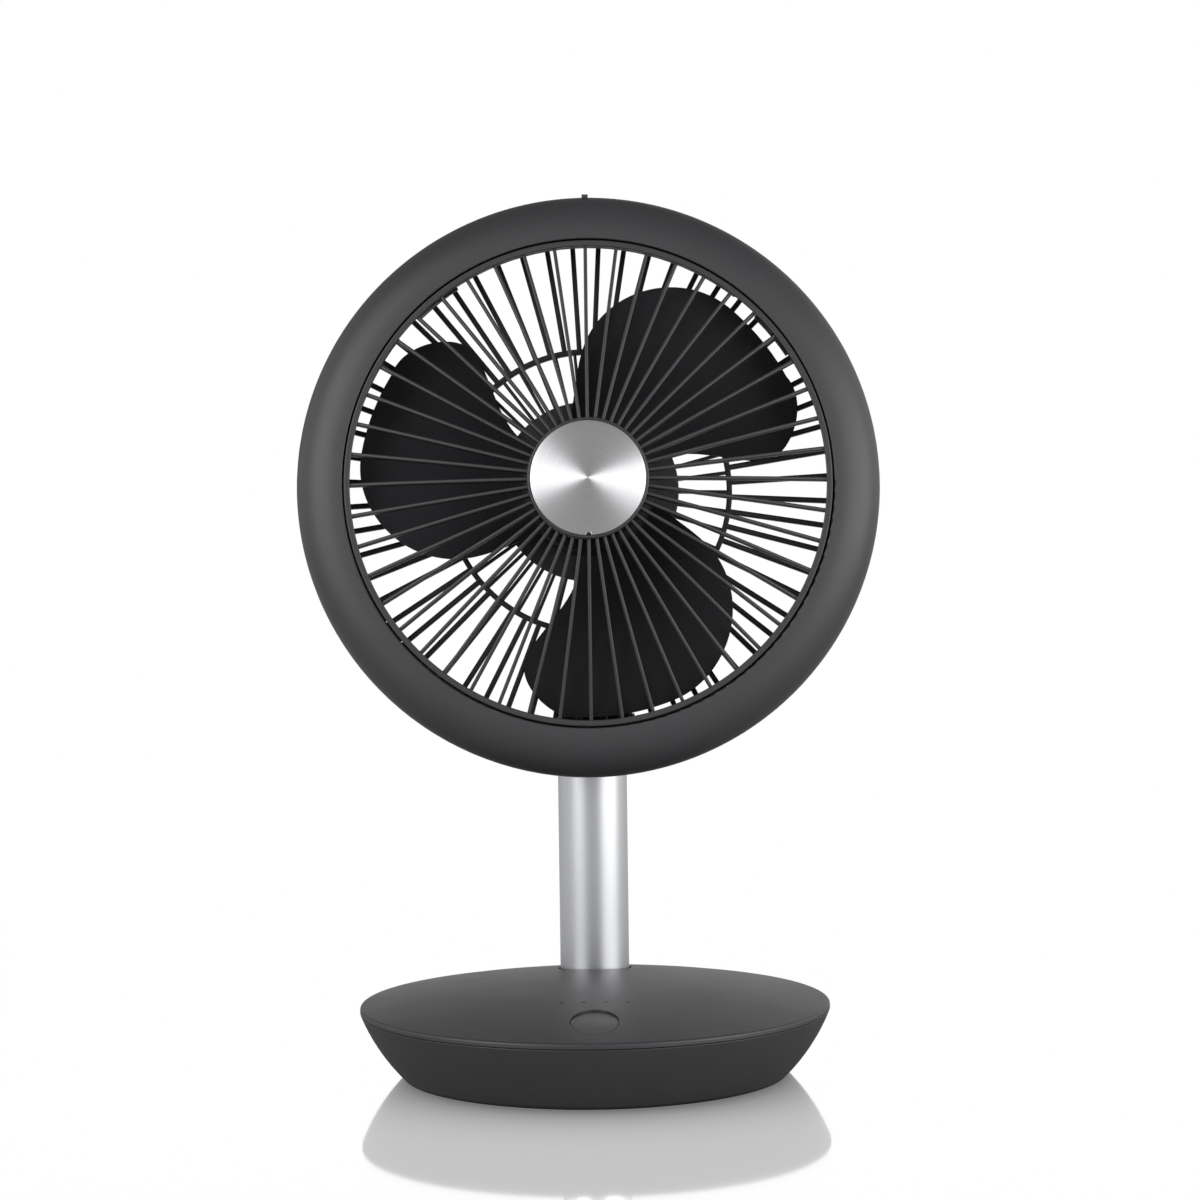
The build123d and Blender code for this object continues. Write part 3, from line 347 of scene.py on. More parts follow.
@dataclass(frozen=True)
class SpunMetal(Finish):
    """A disc brushed while it spins: fine rings about its middle that stretch the light outward."""

    ring_mm: float = 0.07
    ring_depth_mm: float = 0.0004
    ring_stretch: Triple = (1.0, 0.002, 1.0)
    roughness_spread: float = 0.03
    anisotropy: float = 0.93
    dark_ring: str = "#C8C8CA"

    def paint(self, tree: Tree) -> dict[str, Any]:
        """Add the rings, and turn the highlight along them.

        Args:
            tree: The material's nodes.

        Returns:
            The shader's inputs.
        """
        rings = self.noise(tree, self.ring_mm, self.ring_stretch, detail=1.0, source=Coordinates.UV)
        return {
            "Metallic": 1.0,
            "Anisotropic": self.anisotropy,
            "Tangent": add_node(tree, "ShaderNodeTangent", direction_type="UV_MAP", uv_map=SPIN_MAP),
            "Roughness": add_node(tree, "ShaderNodeMapRange", (rings, *NOISE_BAND, *self.rough_band)),
            "Base Color": self.tint(tree, rings, self.dark_ring),
            "Normal": self.bump(tree, rings, self.ring_depth_mm),
        }


@dataclass(frozen=True)
class PaintedMetal(Metal):
    """Powder coat over steel: instead of lines, the fine orange peel of powder that flowed out."""

    metallic: float = 0.0
    line_mm: float = 1.1
    line_detail: float = 1.0
    stretch: Triple = (1.0, 1.0, 1.0)
    line_depth_mm: float = 0.03
    roughness_spread: float = 0.05
    smear_mm: float = 4.0


@dataclass(frozen=True)
class ClearPlastic(Finish):
    """A smoked light guide: dark clear plastic with a frosted end."""

    transmission: float = 0.1
    ior: float = 1.49
    frost_mm: float = 0.4
    frost_depth_mm: float = 0.01

    def paint(self, tree: Tree) -> dict[str, Any]:
        """Let a little light through and add the frost.

        Args:
            tree: The material's nodes.

        Returns:
            The shader's inputs.
        """
        frost = self.bump(tree, self.noise(tree, self.frost_mm), self.frost_depth_mm)
        return {"Transmission Weight": self.transmission, "IOR": self.ior, "Normal": frost}


@dataclass(frozen=True)
class SolderMask(Finish):
    """Green solder mask over copper tracks, which show as paler, slightly raised lines."""

    track: str = "#1F6B3A"
    pitch_mm: float = 1.27
    pitches: int = 3
    track_depth_mm: float = 0.035

    def paint(self, tree: Tree) -> dict[str, Any]:
        """Add the tracks.

        Args:
            tree: The material's nodes.

        Returns:
            The shader's inputs.
        """
        place = add_node(tree, "ShaderNodeTexCoord").outputs["Object"]
        inputs = {"Vector": place, "Scale": 1 / (self.pitches * self.pitch_mm * MM)}
        cells = add_node(tree, "ShaderNodeTexVoronoi", inputs, distance="MANHATTAN")
        height = add_node(tree, "ShaderNodeMapRange", (cells, *NOISE_BAND, 0.0, 1.0))
        relief = self.bump(tree, height, self.track_depth_mm)
        return {"Base Color": self.tint(tree, cells, self.track), "Normal": relief}


@dataclass(frozen=True)
class BandedMetal(Finish):
    """Metal in layers: enamelled copper wire in close turns, or pressed electrical sheet in a stack."""

    bands: Bands = Bands.TURNS
    pitch_mm: float = 0.35
    depth_mm: float = 0.12
    metallic: float = 0.85
    coat: float = 0.6

    def paint(self, tree: Tree) -> dict[str, Any]:
        """Add the layers.

        Args:
            tree: The material's nodes.

        Returns:
            The shader's inputs.
        """
        place = add_node(tree, "ShaderNodeTexCoord").outputs["Object"]
        inputs = {"Vector": place, "Scale": 1 / (math.tau * self.pitch_mm * MM)}
        layers = add_node(tree, "ShaderNodeTexWave", inputs, bands_direction=self.bands.value)
        relief = self.bump(tree, layers.outputs["Fac"], self.depth_mm)
        return {"Metallic": self.metallic, "Coat Weight": self.coat, "Normal": relief}


# The name of each finish is its slot in the part's record.
FINISHES: tuple[Finish, ...] = (
    # Head and base: charcoal ABS from a finely spark-eroded mould, with painted shade darkening its gaps and
    # inner corners.
    Moulded(
        "charcoal_shell", ("base_shell", "top_cover", "power_button", "front_ring", "rear_shell"),
        "#38383A", 0.46, worn="#3B3B3E", painted_shade_mm=2.0,
    ),
    # Front grille: the same ABS, one shade darker, polished a little more along its thin ribs.
    Moulded(
        "charcoal_ribs", ("front_grille",),
        "#323234", 0.46, worn="#363638", grain_mm=0.22, grain_depth_mm=0.006,
    ),
    # Rear guard and fittings inside: black ABS straight from a plain mould.
    Moulded(
        "black_plastic",
        ("battery_tray", "swivel_housing", "swivel_retainer", "rear_grille", "motor_cover", "tact_switch"),
        "#222224", 0.5, worn="#28282A", grain_mm=0.4,
    ),
    # Rotor: glass-filled polypropylene, whose short fibres leave a dull skin that hardly shines.
    Moulded(
        "blade_plastic", ("rotor", "rotor_cap"), "#2D2D30", 0.55,
        specular_level=0.14, worn="#313134", grain_mm=0.6, grain_depth_mm=0.008,
    ),
    # Washers and plunger: unpainted acetal, waxy and even.
    Moulded(
        "white_plastic", ("switch_plunger", "lower_washer", "upper_thrust_washer"),
        "#DEDDD6", 0.38, worn="#D6D5CC", grain_mm=0.5, grain_depth_mm=0.004,
    ),
    ClearPlastic("clear_plastic", ("light_pipe",), "#0C0C0D", 0.5, specular_level=0.2),
    SpunMetal("spun_aluminium", ("badge",), "#D8D8DA", 0.42),
    # Pole: drawn tube, bead-blasted and anodised, which leaves faint lengthwise lines under a satin skin.
    Metal(
        "anodised_aluminium", ("pole_tube",), "#CDCED0", 0.36,
        line_mm=0.4, stretch=(1.0, 1.0, 0.02), line_depth_mm=0.0004, roughness_spread=0.01,
    ),
    PaintedMetal("black_metal", ("knuckle", "tilt_bracket", "tilt_nut"), "#2A2A2C", 0.42),
    # Turned parts: bright steel from the lathe with fine tool marks.
    Metal(
        "turned_steel",
        ("tilt_pin", "tilt_spring_washer", "motor_shaft", "motor_bearings", "rotor_cup", "charging_socket"),
        "#A9A9AA", 0.24,
    ),
    # Screws: carbon steel, blackened in a hot oxide bath.
    Metal(
        "screw_steel",
        ("base_screws", "board_screws", "swivel_screws", "neck_screw", "bracket_screws", "head_screws",
         "motor_screws"),
        "#4A4A4C", 0.34, line_mm=0.15, stretch=(1.0, 1.0, 1.0), line_depth_mm=0.004,
    ),
    Metal("turned_brass", ("bearing_tube", "pole_foot"), "#C2A262", 0.26),
    BandedMetal("copper_wire", ("stator_windings",), "#B36A3C", 0.3),
    BandedMetal(
        "lamination", ("stator_core",), "#77777A", 0.45,
        bands=Bands.SHEETS, pitch_mm=0.5, depth_mm=0.05, metallic=0.9, coat=0.0,
    ),
    # Magnets: plastic-bonded ferrite, dull and faintly gritty.
    Moulded(
        "magnet", ("magnet_ring",), "#3A3836", 0.6,
        worn="#45423F", grain_mm=0.25, grain_depth_mm=0.02, cloud_mm=4.0,
    ),
    # Ballast: hot-rolled plate, oiled, with mill scale.
    PaintedMetal("cast_weight", ("weight_plate",), "#4B4948", 0.5, line_mm=2.5, line_depth_mm=0.05),
    # Rubber: a bloom of dust in its pores.
    Moulded(
        "black_rubber", ("rubber_pad", "friction_washers"), "#1A1A1A", 0.75,
        specular_level=0.3, worn="#2C2B2A", worn_share=0.8, grain_mm=0.5, grain_depth_mm=0.03,
        cloud_mm=3.0, cloud_detail=5.0, roughness_spread=0.0,
    ),
    # Cells: heat-shrunk sleeve, glossy over the steel can.
    Moulded(
        "cell_sleeve", ("battery_cells",), "#2E6B50", 0.22, worn="#2A6149", grain_mm=2.0, grain_depth_mm=0.02
    ),
    SolderMask("circuit_board", ("control_board", "charging_board", "driver_board"), "#14512A", 0.32),
)


# ---- meshes
def place_matrix(joint_name: str = "") -> Matrix:
    """Place a frame whose X runs right, Y up and Z forward.

    Args:
        joint_name: CAD joint at whose place it stands, with Z along its axis. Without one, it stands in the
            middle of the base's foot with Z up.

    Returns:
        The matrix that takes the frame's millimetres to metres in the row frame.
    """
    origin, forward = Vector((0.0, 0.0, 0.0)), Vector((0.0, 0.0, 1.0))
    if joint_name:
        joint = next(joint for joint in frame["joints"] if joint["name"] == joint_name)
        origin, forward = Vector(joint["pos_m"]), Vector(joint["axis"]).normalized()
    right = Vector((1.0, 0.0, 0.0))
    columns = Matrix((right, forward.cross(right), forward)).transposed().to_4x4()
    return Matrix.Translation(origin) @ columns @ Matrix.Scale(MM, 4)


def make_object(name: str, vertices: Sequence, faces: Sequence) -> Thing:
    """Make a mesh object in the scene.

    Args:
        name: The object's name.
        vertices: Points.
        faces: Lists of vertex numbers.

    Returns:
        The object, at the origin.
    """
    mesh = bpy.data.meshes.new(name)
    mesh.from_pydata([tuple(map(float, v)) for v in vertices], [], faces)
    mesh.update()
    made = bpy.data.objects.new(name, mesh)
    bpy.context.scene.collection.objects.link(made)
    return made


def soften(corners: Sequence[Triple], steps: int = 5) -> list[Point]:
    """Round the corners of a closed outline.

    Args:
        corners: Two coordinates and a rounding radius for each corner.
        steps: Segments of each rounding.

    Returns:
        The outline's points.
    """
    outline: list[Point] = []
    for index, (x, y, radius) in enumerate(corners):
        here = np.array((x, y))
        if radius <= 0:
            outline.append((x, y))
            continue
        before = np.array(corners[index - 1][:2]) - here
        after = np.array(corners[(index + 1) % len(corners)][:2]) - here
        before, after = before / np.linalg.norm(before), after / np.linalg.norm(after)
        half = math.acos(float(np.clip(before @ after, -1, 1))) / 2
        middle = (before + after) / np.linalg.norm(before + after)
        centre = here + middle * radius / math.sin(half)
        start, end = (here + side * radius / math.tan(half) - centre for side in (before, after))
        turn = math.acos(float(np.clip(start @ end / radius**2, -1, 1)))
        for step in range(steps + 1):
            share = step / steps
            spoke = (math.sin((1 - share) * turn) * start + math.sin(share * turn) * end) / math.sin(turn)
            outline.append(tuple(centre + spoke))
    return outline


def number_rows(rows: int, count: int, first: int = 0) -> list[range]:
    """Number points row by row.

    Args:
        rows: Number of rows.
        count: Points in a row.
        first: Number of the first point.

    Returns:
        The numbers in each row.
    """
    return [range(first + row * count, first + (row + 1) * count) for row in range(rows)]


def skin(rows: Sequence[Sequence[int]], closed: bool = False) -> list[tuple[int, ...]]:
    """Join rows of points, each a loop, into a surface without holes.

    Args:
        rows: The points' numbers. A row that repeats one number is a pole.
        closed: Whether the last row meets the first. Otherwise the two end rows are capped.

    Returns:
        The faces.
    """
    faces = [
        tuple(dict.fromkeys((upper[point - 1], lower[point - 1], lower[point], upper[point])))
        for upper, lower in zip(rows if closed else rows[:-1], [*rows[1:], rows[0]])
        for point in range(len(upper))
    ]
    caps = [] if closed else [rows[0][::-1], rows[-1]]
    return faces + [tuple(cap) for cap in caps if cap[0] != cap[1]]


def turn_outline(
    outline: Sequence[Point], segments: int, start: float = 0.0, sweep: float = 360.0
) -> tuple[list[Triple], list[tuple[int, ...]]]:
    """Turn a closed outline about Z, all the way or through a part of a turn.

    Args:
        outline: Radius and height of each point.
        segments: Steps of a full turn.
        start: Where the turn starts, in degrees.
        sweep: How far it goes, in degrees.

    Returns:
        Vertices and faces.
    """
    full = sweep >= 360.0
    rows = segments if full else max(2, round(segments * sweep / 360)) + 1
    step = math.radians(sweep) / (rows if full else rows - 1)
    angles = [math.radians(start) + step * row for row in range(rows)]
    vertices = [(r * math.cos(a), r * math.sin(a), z) for a in angles for r, z in outline]
    return vertices, skin(number_rows(rows, len(outline)), full)


def lathe(name: str, corners: Sequence[Triple], segments: int = 192) -> Thing:
    """Turn a softened outline about Z.

    Args:
        name: The object's name.
        corners: Radius, height and rounding of each corner.
        segments: Steps round the axis.

    Returns:
        The turned object.
    """
    return make_object(name, *turn_outline(soften(corners), segments))


def join(name: str, pieces: Sequence[Thing]) -> Thing:
    """Join objects into one.

    Args:
        name: Name of the result.
        pieces: The objects, which are used up.

    Returns:
        The joined object.
    """
    with bpy.context.temp_override(
        active_object=pieces[0], object=pieces[0], selected_objects=pieces, selected_editable_objects=pieces
    ):
        bpy.ops.object.join()
    pieces[0].name = name
    pieces[0].data.name = name
    return pieces[0]


def finish_mesh(made: Thing) -> None:
    """Weld, turn the normals outward and shade smooth with sharp edges.

    Args:
        made: The object.
    """
    sheet = bmesh.new()
    sheet.from_mesh(made.data)
    bmesh.ops.remove_doubles(sheet, verts=sheet.verts, dist=WELD_MM)
    bmesh.ops.dissolve_degenerate(sheet, edges=sheet.edges, dist=WELD_MM / 4)
    bmesh.ops.recalc_face_normals(sheet, faces=sheet.faces)
    sheet.to_mesh(made.data)
    sheet.free()
    made.data.shade_smooth()
    made.data.set_sharp_from_angle(angle=math.radians(SHARP_DEGREES))


class RadialArray:
    """Copies of a mesh turned about Z, made by one Geometry Nodes tree."""

    def __init__(self) -> None:
        """Build the tree."""
        tree = bpy.data.node_groups.new("radial_array", "GeometryNodeTree")
        self.tree = tree
        self.sockets: dict[str, str] = {}
        tree.interface.new_socket("Geometry", in_out="OUTPUT", socket_type="NodeSocketGeometry")
        kinds = {"Geometry": "Geometry", "Count": "Int", "Start Angle": "Float", "Material": "Material"}
        for label, kind in kinds.items():
            socket = tree.interface.new_socket(label, in_out="INPUT", socket_type=f"NodeSocket{kind}")
            self.sockets[label] = socket.identifier
        given = add_node(tree, "NodeGroupInput").outputs
        line = add_node(tree, "GeometryNodeMeshLine", {"Count": given["Count"], "Offset": (0.0, 0.0, 0.0)})
        step = add_node(tree, "ShaderNodeMath", (math.tau, given["Count"]), operation="DIVIDE")
        sums = (add_node(tree, "GeometryNodeInputIndex"), step, given["Start Angle"])
        turn = add_node(tree, "ShaderNodeMath", sums, operation="MULTIPLY_ADD")
        spin = add_node(tree, "ShaderNodeCombineXYZ", {"Z": turn})
        inputs = {"Points": line, "Instance": given["Geometry"], "Rotation": spin}
        copies = add_node(tree, "GeometryNodeInstanceOnPoints", inputs)
        real = add_node(tree, "GeometryNodeRealizeInstances", (copies,))
        dressed = add_node(tree, "GeometryNodeSetMaterial", {"Geometry": real, "Material": given["Material"]})
        add_node(tree, "NodeGroupOutput", (dressed,))

    def spread(self, seed: Thing, count: int, start_degrees: float, material: bpy.types.Material) -> Thing:
        """Turn copies of a seed about Z.

        Args:
            seed: The object to copy, which is used up.
            count: Number of copies.
            start_degrees: Angle of the first copy.
            material: Material of all copies.

        Returns:
            One object with all the copies.
        """
        modifier = seed.modifiers.new("radial", "NODES")
        modifier.node_group = self.tree
        modifier[self.sockets["Count"]] = count
        modifier[self.sockets["Start Angle"]] = math.radians(start_degrees)
        modifier[self.sockets["Material"]] = material
        bpy.context.view_layer.update()
        evaluated = seed.evaluated_get(bpy.context.evaluated_depsgraph_get())
        mesh = bpy.data.meshes.new_from_object(evaluated)
        seed.modifiers.remove(modifier)
        made = bpy.data.objects.new(seed.name, mesh)
        bpy.context.scene.collection.objects.link(made)
        bpy.data.objects.remove(seed)
        return made


# ---- pieces
@dataclass(frozen=True)
class Piece:
    """A piece that replaces CAD nodes, drawn in a frame of its own.

    In the head Z runs forward from the ring's widest circle, and in the base up from its foot.
    """

    materials: dict[str, bpy.types.Material]
    place: Matrix
    array: RadialArray

    def seat(self, made: Thing, slot: str, body: str, nodes: Sequence[str]) -> Thing:
        """Put a finished piece in its place on the frame.

        Args:
            made: The object in the piece's frame.
            slot: The record's slot that it wears.
            body: The CAD body that it rides on.
            nodes: The CAD nodes that it replaces.

        Returns:
            The object.
        """
        finish_mesh(made)
        made.data.transform(self.place)
        dress(made, self.materials[slot])
        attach(made, body)
        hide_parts(*nodes)
        return made


@dataclass(frozen=True)
class FrontGrille(Piece):
    """Rim, hub and straight ribs with rounded front edges, and the hooks of the twist lock."""

    rim_outer: float = 85.65
    rim_inner: float = 83.4
    rim_flare: float = 1.1
    rim_front: float = 12.3
    rim_rear: float = 4.9
    rim_round: float = 0.5
    rim_rear_round: float = 0.2
    rim_segments: int = 256
    hub_radius: float = 21.2
    hub_front: float = 24.2
    hub_rear: float = 18.7
    hub_round: float = 0.6
    hub_rear_round: float = 0.3
    hub_under: float = 20.6
    skirt: float = 2.0
    recess_radius: float = 20.2
    recess_floor: float = 23.0
    recess_round: float = 0.25
    rib_count: int = 48
    rib_front_width: float = 1.3
    rib_back_width: float = 1.0
    rib_depth: float = 5.0
    rib_crown: float = 1.2
    rib_round: float = 0.5
    rib_back_round: float = 0.15
    rib_start_sink: float = 1.0
    rib_end_sink: float = 0.8
    rib_start_drop: float = 1.6
    rib_end_drop: float = 0.9
    rib_steps: int = 28
    hook_angles: tuple[float, ...] = (45.0, 135.0, 225.0, 315.0)
    hook_angle: float = 6.0
    hook_play_angle: float = 0.3
    hook_lap_angle: float = 0.5
    hook_thickness: float = 1.5
    hook_inset: float = 0.3
    hook_top: float = 2.3
    hook_foot: float = 2.2
    hook_sink: float = 0.5
    hook_segments: int = 384

    def rib(self) -> Thing:
        """Make one rib on the +Y side of the axis.

        Returns:
            The rib, thinner towards its back, with a rounded front edge.
        """
        front, back = self.rib_front_width / 2, self.rib_back_width / 2
        section = soften([
            (-front, 0.0, self.rib_round), (front, 0.0, self.rib_round),
            (back, -self.rib_depth, self.rib_back_round), (-back, -self.rib_depth, self.rib_back_round),
        ], steps=4)
        start, end = self.hub_radius - self.rib_start_sink, self.rim_inner + self.rib_end_sink
        first, last = self.hub_front - self.rib_start_drop, self.rim_front - self.rib_end_drop
        vertices = []
        for step in range(self.rib_steps + 1):
            share = step / self.rib_steps
            height = first + (last - first) * share + self.rib_crown * 4 * share * (1 - share)
            vertices += [(x, start + (end - start) * share, height + z) for x, z in section]
        return make_object("rib", vertices, skin(number_rows(self.rib_steps + 1, len(section))))

    def hook(self, angle: float) -> list[Thing]:
        """Make one hook of the twist lock.

        Args:
            angle: Where the hook is, in degrees.

        Returns:
            Its foot, which turns under the ring, and the stem above it.
        """
        outer, low = self.rim_outer - self.hook_inset, self.hook_top - self.hook_foot
        inner, stem_start = outer - self.hook_thickness, angle - self.hook_play_angle - self.hook_angle
        return [
            make_object("hook", *turn_outline(
                [(inner, low), (outer, low), (outer, top), (inner, top)], self.hook_segments, start, sweep
            ))
            for top, start, sweep in (
                (self.hook_top, stem_start - self.hook_angle, self.hook_angle + self.hook_lap_angle),
                (self.rim_rear + self.hook_sink, stem_start, self.hook_angle),
            )
        ]

    def build(self) -> Thing:
        """Make the grille and put it in place.

        Returns:
            The grille.
        """
        rim = lathe("rim", [
            (self.rim_inner + self.rim_flare, self.rim_rear, 0.0),
            (self.rim_outer, self.rim_rear, self.rim_rear_round),
            (self.rim_outer, self.rim_front, self.rim_round),
            (self.rim_inner, self.rim_front, self.rim_round),
        ], self.rim_segments)
        inner = self.hub_radius - self.skirt
        hub = lathe("hub", [
            (AXIS_HOLE_MM, self.hub_under, 0), (inner, self.hub_under, 0), (inner, self.hub_rear, 0),
            (self.hub_radius, self.hub_rear, self.hub_rear_round),
            (self.hub_radius, self.hub_front, self.hub_round),
            (self.recess_radius, self.hub_front, self.recess_round),
            (self.recess_radius, self.recess_floor, 0), (AXIS_HOLE_MM, self.recess_floor, 0),
        ])
        material = self.materials["charcoal_ribs"]
        ribs = self.array.spread(self.rib(), self.rib_count, 0.0, material)
        hooks = [part for angle in self.hook_angles for part in self.hook(angle)]
        grille = join("grille_front", [rim, hub, ribs, *hooks])
        return self.seat(grille, "charcoal_ribs", "grille", ["front_grille"])


@dataclass(frozen=True)
class RearGuard(Piece):
    """The guard behind the rotor: turned rim, ring and plate, and two rows of bars with rounded edges."""

    front: float = -16.3
    back: float = -19.6
    rim: Point = (89.8, 92.3)
    middle: Point = (49.65, 51.55)
    plate: Point = (5.25, 32.4)
    outer_bars: int = 60
    outer_width: float = 1.8
    outer_start: float = 3.0
    inner_bars: int = 45
    inner_width: float = 1.15
    inner_start: float = 5.0
    sink: float = 0.6
    bar_round: float = 0.45
    edge_round: float = 0.4

    def box(self, near: float, far: float, rounding: float) -> list[Triple]:
        """Draw the guard's section between two places.

        Args:
            near: The first place across it.
            far: The second.
            rounding: Radius of its corners.

        Returns:
            The section's corners.
        """
        corners = ((near, self.back), (far, self.back), (far, self.front), (near, self.front))
        return [(across, height, rounding) for across, height in corners]

    def bars(self, count: int, width: float, start: float, radii: Point) -> Thing:
        """Spread straight bars round the axis.

        Args:
            count: Number of bars.
            width: Width of a bar.
            start: Angle of the first bar in degrees.
            radii: Where the bars leave the inner band and where they meet the outer one.

        Returns:
            All the bars as one object.
        """
        section = soften(self.box(-width / 2, width / 2, self.bar_round), steps=4)
        vertices = [(x, y, z) for y in (radii[0] - self.sink, radii[1] + self.sink) for x, z in section]
        bar = make_object("bar", vertices, skin(number_rows(2, len(section))))
        return self.array.spread(bar, count, start, self.materials["black_plastic"])

    def build(self) -> Thing:
        """Make the guard and put it in place.

        Returns:
            The guard.
        """
        bands = (("rim", self.rim), ("middle", self.middle), ("plate", self.plate))
        pieces = [lathe(name, self.box(*radii, self.edge_round)) for name, radii in bands]
        for count, width, start, radii in (
            (self.outer_bars, self.outer_width, self.outer_start, (self.middle[1], self.rim[0])),
            (self.inner_bars, self.inner_width, self.inner_start, (self.plate[1], self.middle[0])),
        ):
            pieces.append(self.bars(count, width, start, radii))
        return self.seat(join("guard_rear", pieces), "black_plastic", "head", ["rear_grille"])


@dataclass(frozen=True)
class Badge(Piece):
    """The spun disc, with a polar map whose first axis runs outward and whose second runs round it."""

    radius: float = 20.1
    back: float = 23.0
    thickness: float = 1.6
    rounding: float = 0.35
    rounding_steps: int = 5
    rings: tuple[float, ...] = (0.03, 0.1, 0.25, 0.5, 0.75, 1.0)
    segments: int = 720
    notch: float = 1.0
    notch_turn: float = 270.0
    plain_share: float = 0.6

    def edge(self, angle: float) -> float:
        """Radius of the disc's edge, drawn in where the notch is.

        Args:
            angle: Direction, counter-clockwise from +X, in radians.

        Returns:
            The radius.
        """
        off = math.radians(self.notch_turn) - angle % math.tau
        reach = self.radius * math.sin(off)
        if abs(reach) >= self.notch or math.cos(off) < 0:
            return self.radius
        return self.radius * math.cos(off) - math.sqrt(self.notch**2 - reach**2)

    def profile(self) -> list[Point]:
        """Draw the disc's section.

        Returns:
            Radius and height of its points, from the front's middle to the back's.
        """
        top, flat = self.back + self.thickness, self.radius - self.rounding
        points = [(0.0, top)] + [(share * flat, top) for share in self.rings]
        for step in range(1, self.rounding_steps + 1):
            lean = math.pi / 2 * step / self.rounding_steps
            points.append((flat + self.rounding * math.sin(lean), top - self.rounding * (1 - math.cos(lean))))
        return points + [(self.radius, self.back), (0.0, self.back)]

    def build(self) -> Thing:
        """Make the disc and put it in place.

        Returns:
            The disc.
        """
        count = self.segments
        vertices: list[Triple] = []
        rows: list[Sequence[int]] = []
        for radius, height in self.profile():
            if radius == 0.0:
                rows.append([len(vertices)] * count)
                vertices.append((0.0, 0.0, height))
                continue
            rows.append(range(len(vertices), len(vertices) + count))
            for angle in (math.tau * index / count for index in range(count)):
                notched = radius > self.plain_share * self.radius
                reach = min(radius, self.edge(angle) - (self.radius - radius)) if notched else radius
                vertices.append((reach * math.cos(angle), reach * math.sin(angle), height))
        corners = []
        for upper, lower in zip(rows, rows[1:]):
            for index in range(count):
                after = (index + 1) % count
                ring = [(upper[index], index), (lower[index], index), (lower[after], index + 1),
                        (upper[after], index + 1)]
                if upper[index] == upper[after]:
                    ring = [(upper[index], index + 0.5), ring[1], ring[2]]
                elif lower[index] == lower[after]:
                    ring = [ring[0], (lower[index], index + 0.5), ring[3]]
                corners.append(ring)
        disc = make_object("spun_disc", vertices, [[vertex for vertex, _ in ring] for ring in corners])
        layer = disc.data.uv_layers.new(name=SPIN_MAP)
        girth = math.tau * self.radius * MM
        for polygon, ring in zip(disc.data.polygons, corners):
            for loop, (vertex, place) in zip(polygon.loop_indices, ring):
                layer.data[loop].uv = (math.hypot(*vertices[vertex][:2]) * MM, place / count * girth)
        return self.seat(disc, "spun_aluminium", "grille", ["badge"])


@dataclass(frozen=True)
class Button(Piece):
    """The oval button: flush with the dome at its front, sunk in a thumb's dish towards its rear."""

    middle: float = -61.0
    half_width: float = 8.0
    half_length: float = 13.2
    dome_radius: float = 429.39
    dome_top: float = 33.2
    dish_depth: float = 0.65
    dish_length: float = 20.0
    thickness: float = 3.5
    flange: float = 1.0
    stem_radius: float = 1.6
    stem_foot: float = 24.6
    stem_sink: float = 0.2
    stem_segments: int = 48
    segments: int = 128
    rings: int = 24

    def dome(self, x: float, y: float) -> float:
        """Height of the cover's outer surface.

        Args:
            x: Place across the base.
            y: Place along the base.

        Returns:
            The height.
        """
        return self.dome_top - self.dome_radius + math.sqrt(self.dome_radius**2 - x * x - y * y)

    def dish(self, y: float) -> float:
        """Depth of the dish, which fades out forward.

        Args:
            y: Place along the base.

        Returns:
            The depth under the dome.
        """
        share = min((self.middle + self.half_length - y) / self.dish_length, 1.0)
        return self.dish_depth * 0.5 * (1 + math.cos(math.pi * share))

    def slab(self, name: str, grow: float, sunk: bool, top: float, bottom: float) -> Thing:
        """Make an oval slab whose faces follow the dome.

        Args:
            name: The object's name.
            grow: How far its outline lies outside the button's.
            sunk: Whether its upper face has the dish.
            top: Depth of its upper face under the dome.
            bottom: Depth of its lower face under the dome.

        Returns:
            The slab.
        """
        count = self.segments
        shares = [ring / self.rings for ring in range(1, self.rings + 1)]
        vertices = [(0.0, self.middle, self.dome(0, self.middle) - top - sunk * self.dish(self.middle))]
        outward = [(share, top, sunk) for share in shares]
        inward = [(share, bottom, False) for share in reversed(shares)]
        for share, depth, dished in outward + inward:
            for angle in (math.tau * index / count for index in range(count)):
                x = share * (self.half_width + grow) * math.cos(angle)
                y = self.middle + share * (self.half_length + grow) * math.sin(angle)
                vertices.append((x, y, self.dome(x, y) - depth - dished * self.dish(y)))
        rows = [[0] * count, *number_rows(2 * self.rings, count, 1), [len(vertices)] * count]
        vertices.append((0.0, self.middle, self.dome(0, self.middle) - bottom))
        return make_object(name, vertices, skin(rows))

    def build(self) -> Thing:
        """Make the button, its flange and its stem and put them in place.

        Returns:
            The button.
        """
        cap = self.slab("button_cap", 0.0, True, 0.0, self.thickness)
        flange = self.slab("button_flange", self.flange, False, self.thickness - self.flange, self.thickness)
        foot, under = self.stem_foot, self.dome(0, self.middle) - self.thickness + self.stem_sink
        corners = ((0.0, foot, 0), (self.stem_radius, foot, 0), (self.stem_radius, under, 0), (0.0, under, 0))
        stem = lathe("button_stem", corners, self.stem_segments)
        stem.data.transform(Matrix.Translation((0.0, self.middle, 0.0)))
        whole = join("power_button_dished", [cap, flange, stem])
        return self.seat(whole, "charcoal_shell", "button", ["power_button"])


